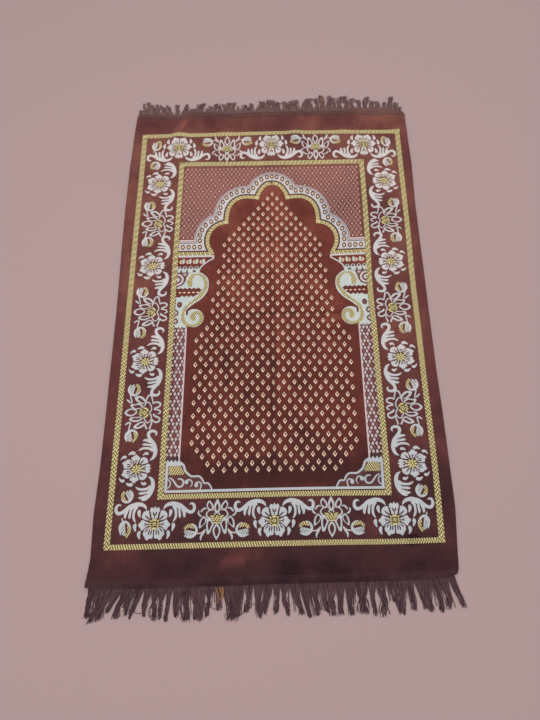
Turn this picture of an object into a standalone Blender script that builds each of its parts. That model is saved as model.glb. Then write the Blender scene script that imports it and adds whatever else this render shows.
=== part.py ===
"""A flat prayer rug: one velvet cloth with a turned hem at each end, and a fringe along both ends.

All tables are in millimetres, measured from the centre of the woven frame: x runs across the rug and
y from its foot to its head. PLACE then moves the three pieces, so that the scene's origin lies under
the middle of the whole rug, fringes included. The rug lies on z = 0.
"""
import bpy
import bmesh

MM = 0.001                     # metres in a millimetre
PLACE = (-0.5, 4.0, 0.0)       # from the frame's centre to the middle of the rug's outer size

# ---- the cloth ------------------------------------------------------------------------------------
VELVET = 3.0                   # thickness of ground and pile together
HEM = 3.8                      # thickness where each end is turned and sewn
HEM_DEPTH = 15.0               # how far the hem reaches in from the end
STITCH = 2.4                   # thickness left under the hem's row of stitches
STITCH_HALF = 3.0              # half the width of the groove that the stitches draw in
GROOVE_SLOPE = 1.0             # how far the cloth takes to rise again beside the groove
FOOT_Y, HEAD_Y = -574.0, 572.0 # mean lines of the two ends
END_ZONE = 100.0               # how far in from an end its unevenness dies away

SIDES = (  # y, left edge x, right edge x
    (-574, -359.0, 349.5),
    (-556, -358.0, 352.5),
    (-520, -354.5, 354.5),
    (-440, -357.0, 360.0),
    (-340, -353.5, 358.5),
    (-240, -353.0, 357.0),
    (-150, -353.0, 354.5),
    (0, -352.5, 353.0),
    (90, -354.0, 352.5),
    (170, -355.5, 351.5),
    (280, -356.5, 350.7),
    (400, -355.5, 353.2),
    (520, -351.5, 350.0),
    (560, -349.5, 350.5),
    (572, -346.5, 346.0),
)

ENDS = (  # x, foot edge y, head edge y
    (-360, -572.0, 569.0),
    (-340, -574.0, 572.5),
    (-290, -575.0, 569.0),
    (-240, -575.5, 565.5),
    (-195, -575.0, 571.5),
    (-100, -574.5, 570.0),
    (0, -573.5, 570.5),
    (120, -573.5, 572.5),
    (220, -573.5, 572.0),
    (290, -572.5, 568.0),
    (335, -569.5, 568.5),
    (350, -563.0, 563.0),
)

FOLDS = (  # from x, y, to x, y, half width, height: low soft ridges, rounded at their ends
    (-238, 498, -198, 590, 27, 5.5),     # the ridge that runs out at the head's left
    (-168, 585, -118, 528, 36, 4.0),
    (-62, 590, 40, 584, 34, 3.5),        # the head edge stands off the floor here
    (74, 566, 62, 500, 26, 3.0),
    (226, 570, 186, 522, 30, 3.5),
    (296, 566, 340, 500, 24, 4.0),
    (-352, -566, -306, -522, 24, 3.5),   # soft waves along the foot
    (-290, -584, -236, -540, 26, 3.5),
    (-128, -560, -36, -508, 28, 3.0),
    (205, -545, 262, -520, 26, 2.0),
    (-340, 12, 336, 8, 22, 1.2),         # the two shoulders of the crosswise folding crease
    (-340, -30, 336, -34, 22, 1.2),
    (-19, 74, -19, -350, 19, 1.2),       # and those of the lengthwise one
    (19, 74, 19, -350, 19, 1.2),
)

COLUMN_RUNS = (  # from, to, as shares of the width, and the cells between
    (0.0, 0.44, 11),
    (0.44, 0.56, 6),
    (0.56, 1.0, 11),
)

# ---- the fringes ----------------------------------------------------------------------------------
GAP = 0.3                      # free play between the cloth and a fringe
HEADING = 4.0                  # depth of the strip that all the strands start from
HEADING_THICK = 2.0
TIP_THICK = 1.0
CLEAR = 0.6                    # least distance from a lock's root to the middle of its gap
LOCK_TAPER = (  # share of the length, share of the width
    (0.35, 0.95),
    (0.75, 0.70),
    (1.0, 0.22),
)

FOOT_LOCKS = (  # root x, tip x, tip y, width: each lock of twisted strands
    (-345, -352, -628, 13), (-327, -343, -636, 15), (-309, -329, -631, 14), (-294, -313, -618, 9),
    (-282, -297, -630, 13), (-266, -283, -624, 8), (-252, -271, -630, 7), (-241, -246, -627, 9),
    (-225, -228, -634, 12), (-209, -217, -632, 5), (-198, -203, -637, 8), (-187, -184, -630, 9),
    (-172, -171, -638, 20), (-153, -146, -635, 12), (-139, -137, -637, 9), (-124, -126, -630, 7),
    (-108, -104, -618, 6), (-87, -82, -638, 24), (-64, -67, -632, 12), (-47, -52, -624, 11),
    (-31, -28, -634, 11), (-9, -17, -627, 9), (5, 3, -628, 9), (18, 22, -631, 12),
    (36, 48, -631, 11), (54, 70, -636, 12), (74, 83, -633, 9), (90, 97, -626, 5),
    (107, 109, -634, 15), (124, 126, -633, 9), (139, 144, -634, 11), (168, 168, -632, 19),
    (184, 187, -635, 7), (200, 206, -637, 18), (217, 225, -612, 4), (228, 233, -634, 8),
    (240, 243, -635, 7), (256, 259, -628, 12), (271, 284, -627, 6), (285, 296, -632, 12),
    (303, 313, -632, 13), (321, 331, -627, 14), (338, 353, -625, 9),
)

HEAD_LOCKS = (  # root x, tip x, tip y, width
    (-341, -343, 590, 9), (-332, -333, 613, 8), (-322, -322, 618, 11), (-308, -315, 608, 5),
    (-291, -303, 610, 5), (-283, -291, 608, 6), (-274, -282, 600, 7), (-260, -275, 606, 7),
    (-244, -246, 607, 11), (-233, -221, 608, 6), (-206, -201, 592, 15), (-187, -180, 610, 20),
    (-169, -166, 592, 8), (-158, -159, 601, 10), (-146, -146, 608, 12), (-134, -134, 601, 8),
    (-123, -123, 607, 11), (-111, -110, 611, 10), (-98, -101, 611, 13), (-86, -86, 598, 5),
    (-74, -72, 603, 12), (-62, -63, 596, 7), (-51, -53, 607, 11), (-34, -24, 614, 18),
    (-15, -6, 619, 16), (3, 9, 615, 13), (19, 21, 609, 7), (35, 38, 611, 14),
    (52, 50, 612, 10), (69, 68, 616, 16), (84, 91, 618, 11), (100, 104, 620, 17),
    (118, 121, 620, 14), (134, 136, 630, 17), (150, 153, 628, 13), (166, 166, 621, 11),
    (182, 181, 624, 14), (198, 199, 626, 12), (214, 214, 618, 15), (232, 232, 612, 12),
    (247, 253, 621, 12), (263, 268, 608, 12), (279, 281, 606, 13), (294, 303, 603, 9),
    (306, 323, 620, 10), (324, 333, 600, 11), (338, 342, 584, 9),
)

PURPLISH_BROWN = (0.060, 0.018, 0.022)
MAROON = (0.090, 0.020, 0.018)


def stations(runs):
    """The evenly spaced values of each run in turn, without repeating where two runs meet."""
    values = [runs[0][0]]
    for start, end, cells in runs:
        values += [start + (end - start) * step / cells for step in range(1, cells + 1)]
    return values


def read(table, column, at):
    """A table's column at a value of its first one, on straight lines between the rows."""
    for low, high in zip(table, table[1:]):
        if at <= high[0]:
            share = max(0.0, (at - low[0]) / (high[0] - low[0]))
            return low[column] + (high[column] - low[column]) * share
    return table[-1][column]


def ease(share):
    """0 to 1 with level ends."""
    share = min(1.0, max(0.0, share))
    return share * share * (3.0 - 2.0 * share)


def lift(x, y):
    """How far the cloth's underside stands off the floor; it is exactly 0 between the folds."""
    height = 0.0
    for x0, y0, x1, y1, half_width, crest in FOLDS:
        run_x, run_y = x1 - x0, y1 - y0
        share = ((x - x0) * run_x + (y - y0) * run_y) / (run_x ** 2 + run_y ** 2)
        share = min(1.0, max(0.0, share))
        off = ((x - x0 - share * run_x) ** 2 + (y - y0 - share * run_y) ** 2) / half_width ** 2
        if off < 1.0:
            height += crest * (1.0 - off) ** 2
    return height


def cloth_thickness(nominal_y):
    """Velvet, a stitched groove, then the hem, going outward to either end."""
    inset = min(HEAD_Y - nominal_y, nominal_y - FOOT_Y)
    if inset < HEM_DEPTH - STITCH_HALF:
        return HEM
    if inset <= HEM_DEPTH:
        return STITCH
    return VELVET


def row_stations():
    """Nominal y of the cloth's rows: close at the hems, the waves and the crosswise crease."""
    groove = HEM_DEPTH - STITCH_HALF - GROOVE_SLOPE
    velvet = HEM_DEPTH + GROOVE_SLOPE
    return stations((
        (FOOT_Y, FOOT_Y + groove, 1),
        (FOOT_Y + groove, FOOT_Y + velvet, 2),
        (FOOT_Y + velvet, -500.0, 4),
        (-500.0, -440.0, 2),
        (-440.0, -60.0, 10),
        (-60.0, 40.0, 10),
        (40.0, 470.0, 10),
        (470.0, HEAD_Y - velvet, 7),
        (HEAD_Y - velvet, HEAD_Y - groove, 2),
        (HEAD_Y - groove, HEAD_Y, 1),
    ))


def cloth_point(across, nominal_y):
    """The outline's unevenness is spread over the cloth: straight inside, as measured at the edges."""
    left = read(SIDES, 1, nominal_y)
    right = read(SIDES, 2, nominal_y)
    x = left + (right - left) * across
    foot_shift = (read(ENDS, 1, x) - FOOT_Y) * ease(1.0 - (nominal_y - FOOT_Y) / END_ZONE)
    head_shift = (read(ENDS, 2, x) - HEAD_Y) * ease(1.0 - (HEAD_Y - nominal_y) / END_ZONE)
    return x, nominal_y + foot_shift + head_shift


def make_material(name, colour):
    material = bpy.data.materials.new(name)
    material.use_nodes = True
    shader = material.node_tree.nodes["Principled BSDF"]
    shader.inputs["Base Color"].default_value = (*colour, 1.0)
    shader.inputs["Roughness"].default_value = 0.9
    shader.inputs["Metallic"].default_value = 0.0
    return material


def make_sheet(name, points, cells, thickness, material):
    """One closed solid: a flat net of cells, given its folds, its thickness and a wall all round."""
    bm = bmesh.new()
    low = []
    high = []
    for (x, y), thick in zip(points, thickness):
        under = lift(x, y)
        low.append(bm.verts.new((x * MM, y * MM, under * MM)))
        high.append(bm.verts.new((x * MM, y * MM, (under + thick) * MM)))
    borders = {}
    for cell in cells:
        bm.faces.new([high[corner] for corner in cell])
        bm.faces.new([low[corner] for corner in reversed(cell)])
        for start, end in zip(cell, cell[1:] + cell[:1]):
            if (end, start) in borders:
                del borders[end, start]
            else:
                borders[start, end] = True
    for start, end in borders:
        bm.faces.new((low[start], low[end], high[end], high[start]))
    mesh = bpy.data.meshes.new(name)
    bm.to_mesh(mesh)
    bm.free()
    mesh.materials.append(material)
    sheet = bpy.data.objects.new(name, mesh)
    sheet.location = [side * MM for side in PLACE]
    bpy.context.collection.objects.link(sheet)
    return sheet


def make_cloth():
    """The velvet, hems included. Returns its foot and head edges, which the fringes follow."""
    columns = stations(COLUMN_RUNS)
    rows = row_stations()
    points = [cloth_point(across, y) for y in rows for across in columns]
    thickness = [cloth_thickness(y) for y in rows for across in columns]
    wide = len(columns)
    cells = [(corner, corner + 1, corner + wide + 1, corner + wide)
             for row in range(len(rows) - 1)
             for corner in range(row * wide, row * wide + wide - 1)]
    make_sheet("rug_cloth", points, cells, thickness, make_material("velvet", MAROON))
    return points[:wide], points[-wide:]


def make_fringe(name, edge, locks, material):
    """A comb: a heading strip along the cloth's edge, with one tapering tooth for each lock."""
    outward = 1.0 if locks[0][2] > 0 else -1.0
    roots = [lock[0] for lock in locks]
    middles = [(left + right) / 2 for left, right in zip(roots, roots[1:])]
    lefts = [roots[0] - locks[0][3]] + middles
    rights = middles + [roots[-1] + locks[-1][3]]

    points = []
    thickness = []
    cells = []

    def add(x, y, thick):
        points.append((x, y))
        thickness.append(thick)
        return len(points) - 1

    def add_heading(x):
        """The heading's inner and outer point at x."""
        start = read(edge, 1, x) + outward * GAP
        return add(x, start, HEADING_THICK), add(x, start + outward * HEADING, HEADING_THICK)

    def edge_corners(start, end):
        """Where the cloth's edge bends between two places."""
        return [x for x, _ in edge if start + CLEAR < x < end - CLEAR]

    def add_cell(*corners):
        """A cell whose corners run anticlockwise at the head, and so clockwise at the foot."""
        cells.append(corners if outward > 0 else corners[::-1])

    heading = []
    last_x = None
    for (root, tip_x, tip_y, width), left, right in zip(locks, lefts, rights):
        half = min(width / 2, root - left - CLEAR, right - root - CLEAR)
        if heading:
            heading += [add_heading(x) for x in edge_corners(last_x, root - half)]
        base_x = [root - half, *edge_corners(root - half, root + half), root + half]
        base = [add_heading(x) for x in base_x]
        heading += base
        for near, far in zip(heading, heading[1:]):
            add_cell(near[0], far[0], far[1], near[1])

        root_y = read(edge, 1, root) + outward * (GAP + HEADING)
        line = [outer for inner, outer in base]
        for along, share in LOCK_TAPER:
            x = root + (tip_x - root) * along
            y = root_y + (tip_y - root_y) * along
            thick = HEADING_THICK + (TIP_THICK - HEADING_THICK) * along
            next_line = [add(x - half * share, y, thick), add(x + half * share, y, thick)]
            add_cell(*line, *reversed(next_line))
            line = next_line
        heading = base[-1:]
        last_x = root + half
    return make_sheet(name, points, cells, thickness, material)


def main():
    for old in list(bpy.data.objects):
        bpy.data.objects.remove(old)
    foot_edge, head_edge = make_cloth()
    yarn = make_material("fringe yarn", PURPLISH_BROWN)
    make_fringe("fringe_foot", foot_edge, FOOT_LOCKS, yarn)
    make_fringe("fringe_head", head_edge, HEAD_LOCKS, yarn)


main()
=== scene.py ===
"""The looks of a velvet prayer rug, woven over its CAD frame.

Every size in the design is in millimetres from the centre of the woven frame, x across the rug and y
from its foot to its head, as in the rug's own construction. MM and PLACE turn them into the scene's
metres. The design is a list of flat outlines, each in one yarn, a later one lying over an earlier one.
weave() cuts the cloth along all of them at once, so each yarn is its own mesh with true edges: the
pile stands up between the flat yarns, and all of them ride on one thin ground sheet.
"""
import math
import random

import bpy
import numpy as np
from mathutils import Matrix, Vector
from mathutils.geometry import delaunay_2d_cdt


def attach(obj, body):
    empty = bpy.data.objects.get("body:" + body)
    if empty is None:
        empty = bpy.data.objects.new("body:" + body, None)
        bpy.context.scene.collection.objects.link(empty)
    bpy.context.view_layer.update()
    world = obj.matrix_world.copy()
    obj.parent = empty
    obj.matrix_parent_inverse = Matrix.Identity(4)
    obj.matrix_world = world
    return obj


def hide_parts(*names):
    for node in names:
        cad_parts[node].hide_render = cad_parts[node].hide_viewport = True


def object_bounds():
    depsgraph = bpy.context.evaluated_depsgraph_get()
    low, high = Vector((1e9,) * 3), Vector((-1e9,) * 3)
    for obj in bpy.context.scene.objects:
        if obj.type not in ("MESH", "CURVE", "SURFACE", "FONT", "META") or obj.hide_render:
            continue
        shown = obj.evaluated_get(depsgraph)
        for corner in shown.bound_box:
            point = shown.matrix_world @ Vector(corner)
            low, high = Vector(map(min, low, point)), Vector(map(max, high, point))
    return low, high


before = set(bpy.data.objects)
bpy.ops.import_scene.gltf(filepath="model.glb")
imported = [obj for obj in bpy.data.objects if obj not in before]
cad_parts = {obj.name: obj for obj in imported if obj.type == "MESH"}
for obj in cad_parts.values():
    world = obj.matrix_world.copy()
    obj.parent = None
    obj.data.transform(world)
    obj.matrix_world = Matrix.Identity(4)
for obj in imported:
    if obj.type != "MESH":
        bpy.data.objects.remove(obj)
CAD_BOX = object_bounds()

MM = 0.001                      # metres in a millimetre
PLACE = (-0.5, 4.0)             # from the frame's centre to the middle of the rug's outer size

# ---- the cloth, as it is cut and as it lies --------------------------------------------------------
GROUND = 2.1                    # thickness of the woven ground under the pile
FLAT_YARN = 2.5                 # height of the flat yarns over the cloth's underside
VELVET = 3.0                    # height of the pile
HEM = 3.8                       # height where each end is turned and sewn
HEM_DEPTH = 15.0
STITCH = 2.8                    # height of the groove under the hem's row of stitches
GROOVE_WIDTH = 3.0
GROOVE_SLOPE = 1.0
HEM_STEPS = (  # how far in from an end of the cloth, height of the pile there
    (HEM_DEPTH - GROOVE_WIDTH - GROOVE_SLOPE, HEM),
    (HEM_DEPTH - GROOVE_WIDTH, STITCH),
    (HEM_DEPTH, STITCH),
    (HEM_DEPTH + GROOVE_SLOPE, VELVET),
)
EDGE_DROP = 0.6                 # how much lower the pile is along the cloth's very edge
EDGE_ROUND = 1.6                # how far in that edge is rounded
FOOT_Y, HEAD_Y = -574.0, 572.0

SIDES = (  # y, left edge x, right edge x
    (-574, -359.0, 349.5),
    (-556, -358.0, 352.5),
    (-520, -354.5, 354.5),
    (-440, -357.0, 360.0),
    (-340, -353.5, 358.5),
    (-240, -353.0, 357.0),
    (-150, -353.0, 354.5),
    (0, -352.5, 353.0),
    (90, -354.0, 352.5),
    (170, -355.5, 351.5),
    (280, -356.5, 350.7),
    (400, -355.5, 353.2),
    (520, -351.5, 350.0),
    (560, -349.5, 350.5),
    (572, -346.5, 346.0),
)

ENDS = (  # x, foot edge y, head edge y
    (-360, -572.0, 569.0),
    (-340, -574.0, 572.5),
    (-290, -575.0, 569.0),
    (-240, -575.5, 565.5),
    (-195, -575.0, 571.5),
    (-100, -574.5, 570.0),
    (0, -573.5, 570.5),
    (120, -573.5, 572.5),
    (220, -573.5, 572.0),
    (290, -572.5, 568.0),
    (335, -569.5, 568.5),
    (350, -563.0, 563.0),
)

FOLDS = (  # from x, y, to x, y, half width, height: low soft ridges, rounded at their ends
    (-238, 498, -198, 590, 27, 5.5),     # the ridge that runs out at the head's left
    (-168, 585, -118, 528, 36, 4.0),
    (-62, 590, 40, 584, 34, 3.5),        # the head edge stands off the floor here
    (74, 566, 62, 500, 26, 3.0),
    (226, 570, 186, 522, 30, 3.5),
    (296, 566, 340, 500, 24, 4.0),
    (-352, -566, -306, -522, 24, 3.5),   # soft waves along the foot
    (-290, -584, -236, -540, 26, 3.5),
    (-128, -560, -36, -508, 28, 3.0),
    (205, -545, 262, -520, 26, 2.0),
    (-340, 12, 336, 8, 22, 1.2),         # the two shoulders of the crosswise folding crease
    (-340, -30, 336, -34, 22, 1.2),
    (-19, 74, -19, -350, 19, 1.2),       # and those of the lengthwise one
    (19, 74, 19, -350, 19, 1.2),
)

FOOT_LOCKS = (  # root x, tip x, tip y, width: each lock of twisted strands
    (-345, -352, -628, 13), (-327, -343, -636, 15), (-309, -329, -631, 14), (-294, -313, -618, 9),
    (-282, -297, -630, 13), (-266, -283, -624, 8), (-252, -271, -630, 7), (-241, -246, -627, 9),
    (-225, -228, -634, 12), (-209, -217, -632, 5), (-198, -203, -637, 8), (-187, -184, -630, 9),
    (-172, -171, -638, 20), (-153, -146, -635, 12), (-139, -137, -637, 9), (-124, -126, -630, 7),
    (-108, -104, -618, 6), (-87, -82, -638, 24), (-64, -67, -632, 12), (-47, -52, -624, 11),
    (-31, -28, -634, 11), (-9, -17, -627, 9), (5, 3, -628, 9), (18, 22, -631, 12),
    (36, 48, -631, 11), (54, 70, -636, 12), (74, 83, -633, 9), (90, 97, -626, 5),
    (107, 109, -634, 15), (124, 126, -633, 9), (139, 144, -634, 11), (168, 168, -632, 19),
    (184, 187, -635, 7), (200, 206, -637, 18), (217, 225, -612, 4), (228, 233, -634, 8),
    (240, 243, -635, 7), (256, 259, -628, 12), (271, 284, -627, 6), (285, 296, -632, 12),
    (303, 313, -632, 13), (321, 331, -627, 14), (338, 353, -625, 9),
)

HEAD_LOCKS = (  # root x, tip x, tip y, width
    (-341, -343, 590, 9), (-332, -333, 613, 8), (-322, -322, 618, 11), (-308, -315, 608, 5),
    (-291, -303, 610, 5), (-283, -291, 608, 6), (-274, -282, 600, 7), (-260, -275, 606, 7),
    (-244, -246, 607, 11), (-233, -221, 608, 6), (-206, -201, 592, 15), (-187, -180, 610, 20),
    (-169, -166, 592, 8), (-158, -159, 601, 10), (-146, -146, 608, 12), (-134, -134, 601, 8),
    (-123, -123, 607, 11), (-111, -110, 611, 10), (-98, -101, 611, 13), (-86, -86, 598, 5),
    (-74, -72, 603, 12), (-62, -63, 596, 7), (-51, -53, 607, 11), (-34, -24, 614, 18),
    (-15, -6, 619, 16), (3, 9, 615, 13), (19, 21, 609, 7), (35, 38, 611, 14),
    (52, 50, 612, 10), (69, 68, 616, 16), (84, 91, 618, 11), (100, 104, 620, 17),
    (118, 121, 620, 14), (134, 136, 630, 17), (150, 153, 628, 13), (166, 166, 621, 11),
    (182, 181, 624, 14), (198, 199, 626, 12), (214, 214, 618, 15), (232, 232, 612, 12),
    (247, 253, 621, 12), (263, 268, 608, 12), (279, 281, 606, 13), (294, 303, 603, 9),
    (306, 323, 620, 10), (324, 333, 600, 11), (338, 342, 584, 9),
)


def read(table, column, at):
    """A table's column at a value of its first one, on straight lines between the rows."""
    for low, high in zip(table, table[1:]):
        if at <= high[0]:
            share = max(0.0, (at - low[0]) / (high[0] - low[0]))
            return low[column] + (high[column] - low[column]) * share
    return table[-1][column]


def ease(share):
    """0 to 1 with level ends."""
    share = min(1.0, max(0.0, share))
    return share * share * (3.0 - 2.0 * share)


def mix(start, end, share):
    return start + (end - start) * share


def edge_at(table, column, at, inset=0.0):
    """Where an edge of the cloth runs, or a line so far in from it; column 1 is the left or foot edge."""
    return read(table, column, at) + (inset if column == 1 else -inset)


def lift(x, y):
    """How far the cloth's underside stands off the floor; it is exactly 0 between the folds."""
    height = 0.0
    for x0, y0, x1, y1, half_width, crest in FOLDS:
        run_x, run_y = x1 - x0, y1 - y0
        share = ((x - x0) * run_x + (y - y0) * run_y) / (run_x ** 2 + run_y ** 2)
        share = min(1.0, max(0.0, share))
        off = ((x - x0 - share * run_x) ** 2 + (y - y0 - share * run_y) ** 2) / half_width ** 2
        if off < 1.0:
            height += crest * (1.0 - off) ** 2
    return height


def end_inset(x, y):
    """How far a point lies in from the nearer end of the cloth."""
    return min(y - read(ENDS, 1, x), read(ENDS, 2, x) - y)


def side_inset(x, y):
    """How far a point lies in from the nearer selvedge."""
    return min(x - read(SIDES, 1, y), read(SIDES, 2, y) - x)


def pile_height(x, y):
    """The pile over the cloth's underside: the hem, its stitched groove, and the rounded edges."""
    inset = end_inset(x, y)
    edge = min(inset, side_inset(x, y)) / EDGE_ROUND
    return read(HEM_STEPS, 1, inset) - EDGE_DROP * (1.0 - ease(edge))


def scene_points(places, heights):
    """Millimetres from the frame's centre to the scene's metres."""
    return np.column_stack((np.array(places) + PLACE, heights)) * MM


def put(name, data):
    """An object in the scene, from a mesh, a light or a camera."""
    made = bpy.data.objects.new(name, data)
    bpy.context.scene.collection.objects.link(made)
    return made


# ---- drawing kit: outlines in millimetres ----------------------------------------------------------
# the yarns; the last two are patches of slanting strokes: gold on olive weft, and olive on white
(PILE, WHITE, BLUSH, ROSE, RUSSET, GOLD, OLIVE, CREAM, BROWN, CORAL, PEARL,
 HATCHED, PALE_HATCHED) = range(13)

RISING, FALLING = 1, -1         # strokes like / and like \
# the hatches: the strokes' angle to the foot edge, from one to the next, how much of that is bright, and
# how much wider every second stroke is
SIDE_HATCH = (50.0, 5.2, 0.54, 0.16)
FOOT_HATCH = (67.0, 4.66, 0.54, 0.1)
RUN_HATCH = (66.0, 4.66, 0.54, 0.34)
HEAD_HATCH = (66.0, 4.66, 0.54, 0.37)
HEAD_SIDE_HATCH = (50.0, 5.2, 0.54, 0.41)
PATCH_HATCH = (60.0, 4.2, 0.54, 0.0)
PALE_HATCH = (60.0, 4.2, 0.3, 0.0)
STRAND_SHARES = (0.0, 0.3, 0.7, 1.0)         # where the three strands of a braided band meet
FOOT_SHARES = (0.0, 0.42, 1.0)               # the foot's bands have two


def smooth(points, parts=3, closed=True):
    """A round curve through all the points, which may carry a width as a third value."""
    count = len(points)
    curve = []
    for index in range(count if closed else count - 1):
        around = [index + step for step in (-1, 0, 1, 2)]
        around = [points[place % count if closed else min(count - 1, max(0, place))] for place in around]
        for part in range(parts):
            t = part / parts
            curve.append(tuple(
                0.5 * (2 * b + (c - a) * t + (2 * a - 5 * b + 4 * c - d) * t ** 2
                       + (3 * b - a - 3 * c + d) * t ** 3)
                for a, b, c, d in zip(*around)))
    return curve if closed else curve + [points[-1]]


def normals(line):
    """The unit vector to the left of an open line, at each of its points."""
    found = []
    for index in range(len(line)):
        behind = line[max(0, index - 1)]
        ahead = line[min(len(line) - 1, index + 1)]
        run_x, run_y = ahead[0] - behind[0], ahead[1] - behind[1]
        length = math.hypot(run_x, run_y) or 1.0
        found.append((-run_y / length, run_x / length))
    return found


def edges_of(spine, parts):
    """The left and the right edge of a curved band along x, y, width rows."""
    line = smooth(spine, parts, closed=False)
    return [[(x + side * nx * width / 2, y + side * ny * width / 2)
             for (x, y, width), (nx, ny) in zip(line, normals(line))] for side in (1, -1)]


def ribbon(spine, parts=3):
    """A curved band along x, y, width rows."""
    left, right = edges_of(spine, parts)
    return left + right[::-1]


def line_of(points, width):
    """A ribbon of one width."""
    return ribbon([(x, y, width) for x, y in points])


def ellipse(x, y, half_width, half_height, sides=14):
    turns = [2 * math.pi * (side + 0.5) / sides for side in range(sides)]
    return [(x + half_width * math.cos(turn), y + half_height * math.sin(turn)) for turn in turns]


def box(left, low, right, high):
    return [(left, low), (right, low), (right, high), (left, high)]


def lozenge(x, y, half_width, half_height):
    return [(x, y - half_height), (x + half_width, y), (x, y + half_height), (x - half_width, y)]


def slit(start, end, width):
    """A short stroke with rounded ends."""
    middle = ((start[0] + end[0]) / 2, (start[1] + end[1]) / 2)
    return ribbon([(*start, width * 0.55), (*middle, width), (*end, width * 0.55)], 2)


def clip(outline, normal, limit):
    """The part of a convex outline on the side of a line that its normal points away from."""
    kept = []
    for start, end in zip(outline, outline[1:] + outline[:1]):
        over_start = start[0] * normal[0] + start[1] * normal[1] - limit
        over_end = end[0] * normal[0] + end[1] * normal[1] - limit
        if over_start <= 0:
            kept.append(start)
        if (over_start < 0) != (over_end < 0) and over_start != over_end:
            share = over_start / (over_start - over_end)
            kept.append((mix(start[0], end[0], share), mix(start[1], end[1], share)))
    return kept


def strokes(outline, lean, through, hatch):
    """The slanting strokes that cross a convex outline; one of them is centred on a given point."""
    rise, pitch, share, pairing = hatch
    normal = (math.sin(math.radians(rise)), -lean * math.cos(math.radians(rise)))
    base = through[0] * normal[0] + through[1] * normal[1]
    reach = [x * normal[0] + y * normal[1] - base for x, y in outline]
    cut = []
    for index in range(math.floor(min(reach) / pitch), math.ceil(max(reach) / pitch) + 1):
        half = pitch * share / 2 * (1 + (pairing if index % 2 else -pairing))
        middle = base + index * pitch
        part = clip(outline, normal, middle + half)
        part = clip(part, (-normal[0], -normal[1]), half - middle) if part else part
        if len(part) > 2:
            cut.append(part)
    return cut


def threaded(shapes):
    """Every hatched outline as its ground and the strokes over it, which fall at the right."""
    found = []
    for yarn, outline in shapes:
        lean = FALLING if min(x for x, y in outline) > 0 else RISING
        if yarn == HATCHED:
            found += inked(OLIVE, outline) + inked(GOLD, *strokes(outline, lean, (0, 0), PATCH_HATCH))
        elif yarn == PALE_HATCHED:
            found += inked(WHITE, outline) + inked(OLIVE, *strokes(outline, lean, (0, 0), PALE_HATCH))
        else:
            found.append((yarn, outline))
    return found


def inked(yarn, *outlines):
    return [(yarn, outline) for outline in outlines]


def bands(yarn, *spines):
    """Curved bands of one yarn, each along x, y, width rows."""
    return inked(yarn, *[ribbon(spine) for spine in spines])


def slits(yarn, *rows):
    """Short strokes of one yarn, each from x, y to x, y with a width."""
    return inked(yarn, *[slit(row[:2], row[2:4], row[4]) for row in rows])


def both_halves(shapes):
    """Shapes, and their mirror images across x = 0."""
    return shapes + flipped(shapes)


def flipped(shapes):
    return [(yarn, [(-x, y) for x, y in outline]) for yarn, outline in shapes]


def placed(shapes, at, up=(0, 1)):
    """A motif drawn about (0, 0) and upright, moved and turned."""
    return [(yarn, [(at[0] + x * up[1] + y * up[0], at[1] - x * up[0] + y * up[1])
                    for x, y in outline]) for yarn, outline in shapes]


# ---- border motifs, drawn upright about (0, 0); up is towards the middle of the rug ----------------
def flower_petals():
    """The white petals and the dark slits between their folds; the left ones are mirrored."""
    top = [(0, 34.6), (-2.5, 30), (-4.8, 31.6), (-7.2, 31.8), (-9.7, 28.6), (-9.8, 25), (-8.2, 18),
           (-6.2, 10.8)]
    top += [(-x, y) for x, y in reversed(top[1:])]
    shoulder = [(-9.6, 9), (-9.8, 15), (-11.2, 22), (-12.2, 25.6), (-16, 26), (-21, 24), (-24.2, 20),
                (-25.4, 15), (-23.8, 10.8), (-19.2, 8.6), (-12.5, 6.9)]
    side = [(-11, 2.6), (-16.5, 4.8), (-22, 8.0), (-25.8, 6.9), (-27.6, 3.3), (-31.6, -0.3), (-30.4, -4.2),
            (-27.1, -7.5), (-25.2, -11.5), (-21.9, -11.7), (-18.3, -7.6), (-14.2, -4.8), (-10.5, -3)]
    lower = [(-8, -7), (-12.5, -6.6), (-16.8, -8.4), (-19.4, -12), (-20.8, -16.7), (-20.4, -20.8),
             (-17.5, -24.2), (-15, -29.2), (-11.7, -30.8), (-8.8, -27.9), (-4.2, -27.5), (-1.4, -25.6),
             (-0.9, -19), (-1.6, -12)]
    petals = inked(WHITE, smooth(top))
    petals += both_halves(inked(WHITE, smooth(shoulder), smooth(side), smooth(lower)))
    folds = both_halves(slits(
        PILE,
        (-3.4, 22.6, -1.4, 16.4, 2.6), (-9.0, 23.0, -6.6, 10.6, 1.9), (-18.6, 16.2, -9.4, 8.0, 2.8),
        (-22.0, 8.6, -10.6, 4.4, 1.6), (-18.8, 2.4, -16.4, -0.4, 2.0), (-18.4, -3.2, -16.4, -0.4, 2.0),
        (-17.0, -0.4, -9.6, -1.6, 2.2), (-16.8, -15.0, -11.4, -8.2, 2.2), (-10.4, -20.4, -8.2, -10.6, 2.3),
        (-5.6, -20.2, -4.4, -10.8, 2.3)))
    return petals + folds + slits(PILE, (0, 18.4, 0, 11, 1.8), (0, -11, 0, -26, 2.0))


def flower_heart():
    """The gold middle: bright pads on olive, round a hatched disc."""
    pads = inked(GOLD, box(-4.2, 5.8, 4.2, 9.2), box(-4.6, -10.8, 4.6, -6.8))
    pads += both_halves(slits(GOLD, (-9.4, 8.0, -5.6, 4.0, 2.8), (-10.4, 1.4, -5.8, 0.6, 2.0),
                              (-10.4, -2.4, -5.8, -2.4, 2.0), (-8.8, -7.2, -5.6, -4.6, 2.4)))
    disc = inked(HATCHED, ellipse(0, -0.2, 4.4, 4.4, 12))
    return inked(OLIVE, ellipse(0, -0.6, 10.8, 10.8, 18)) + pads + disc


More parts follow.
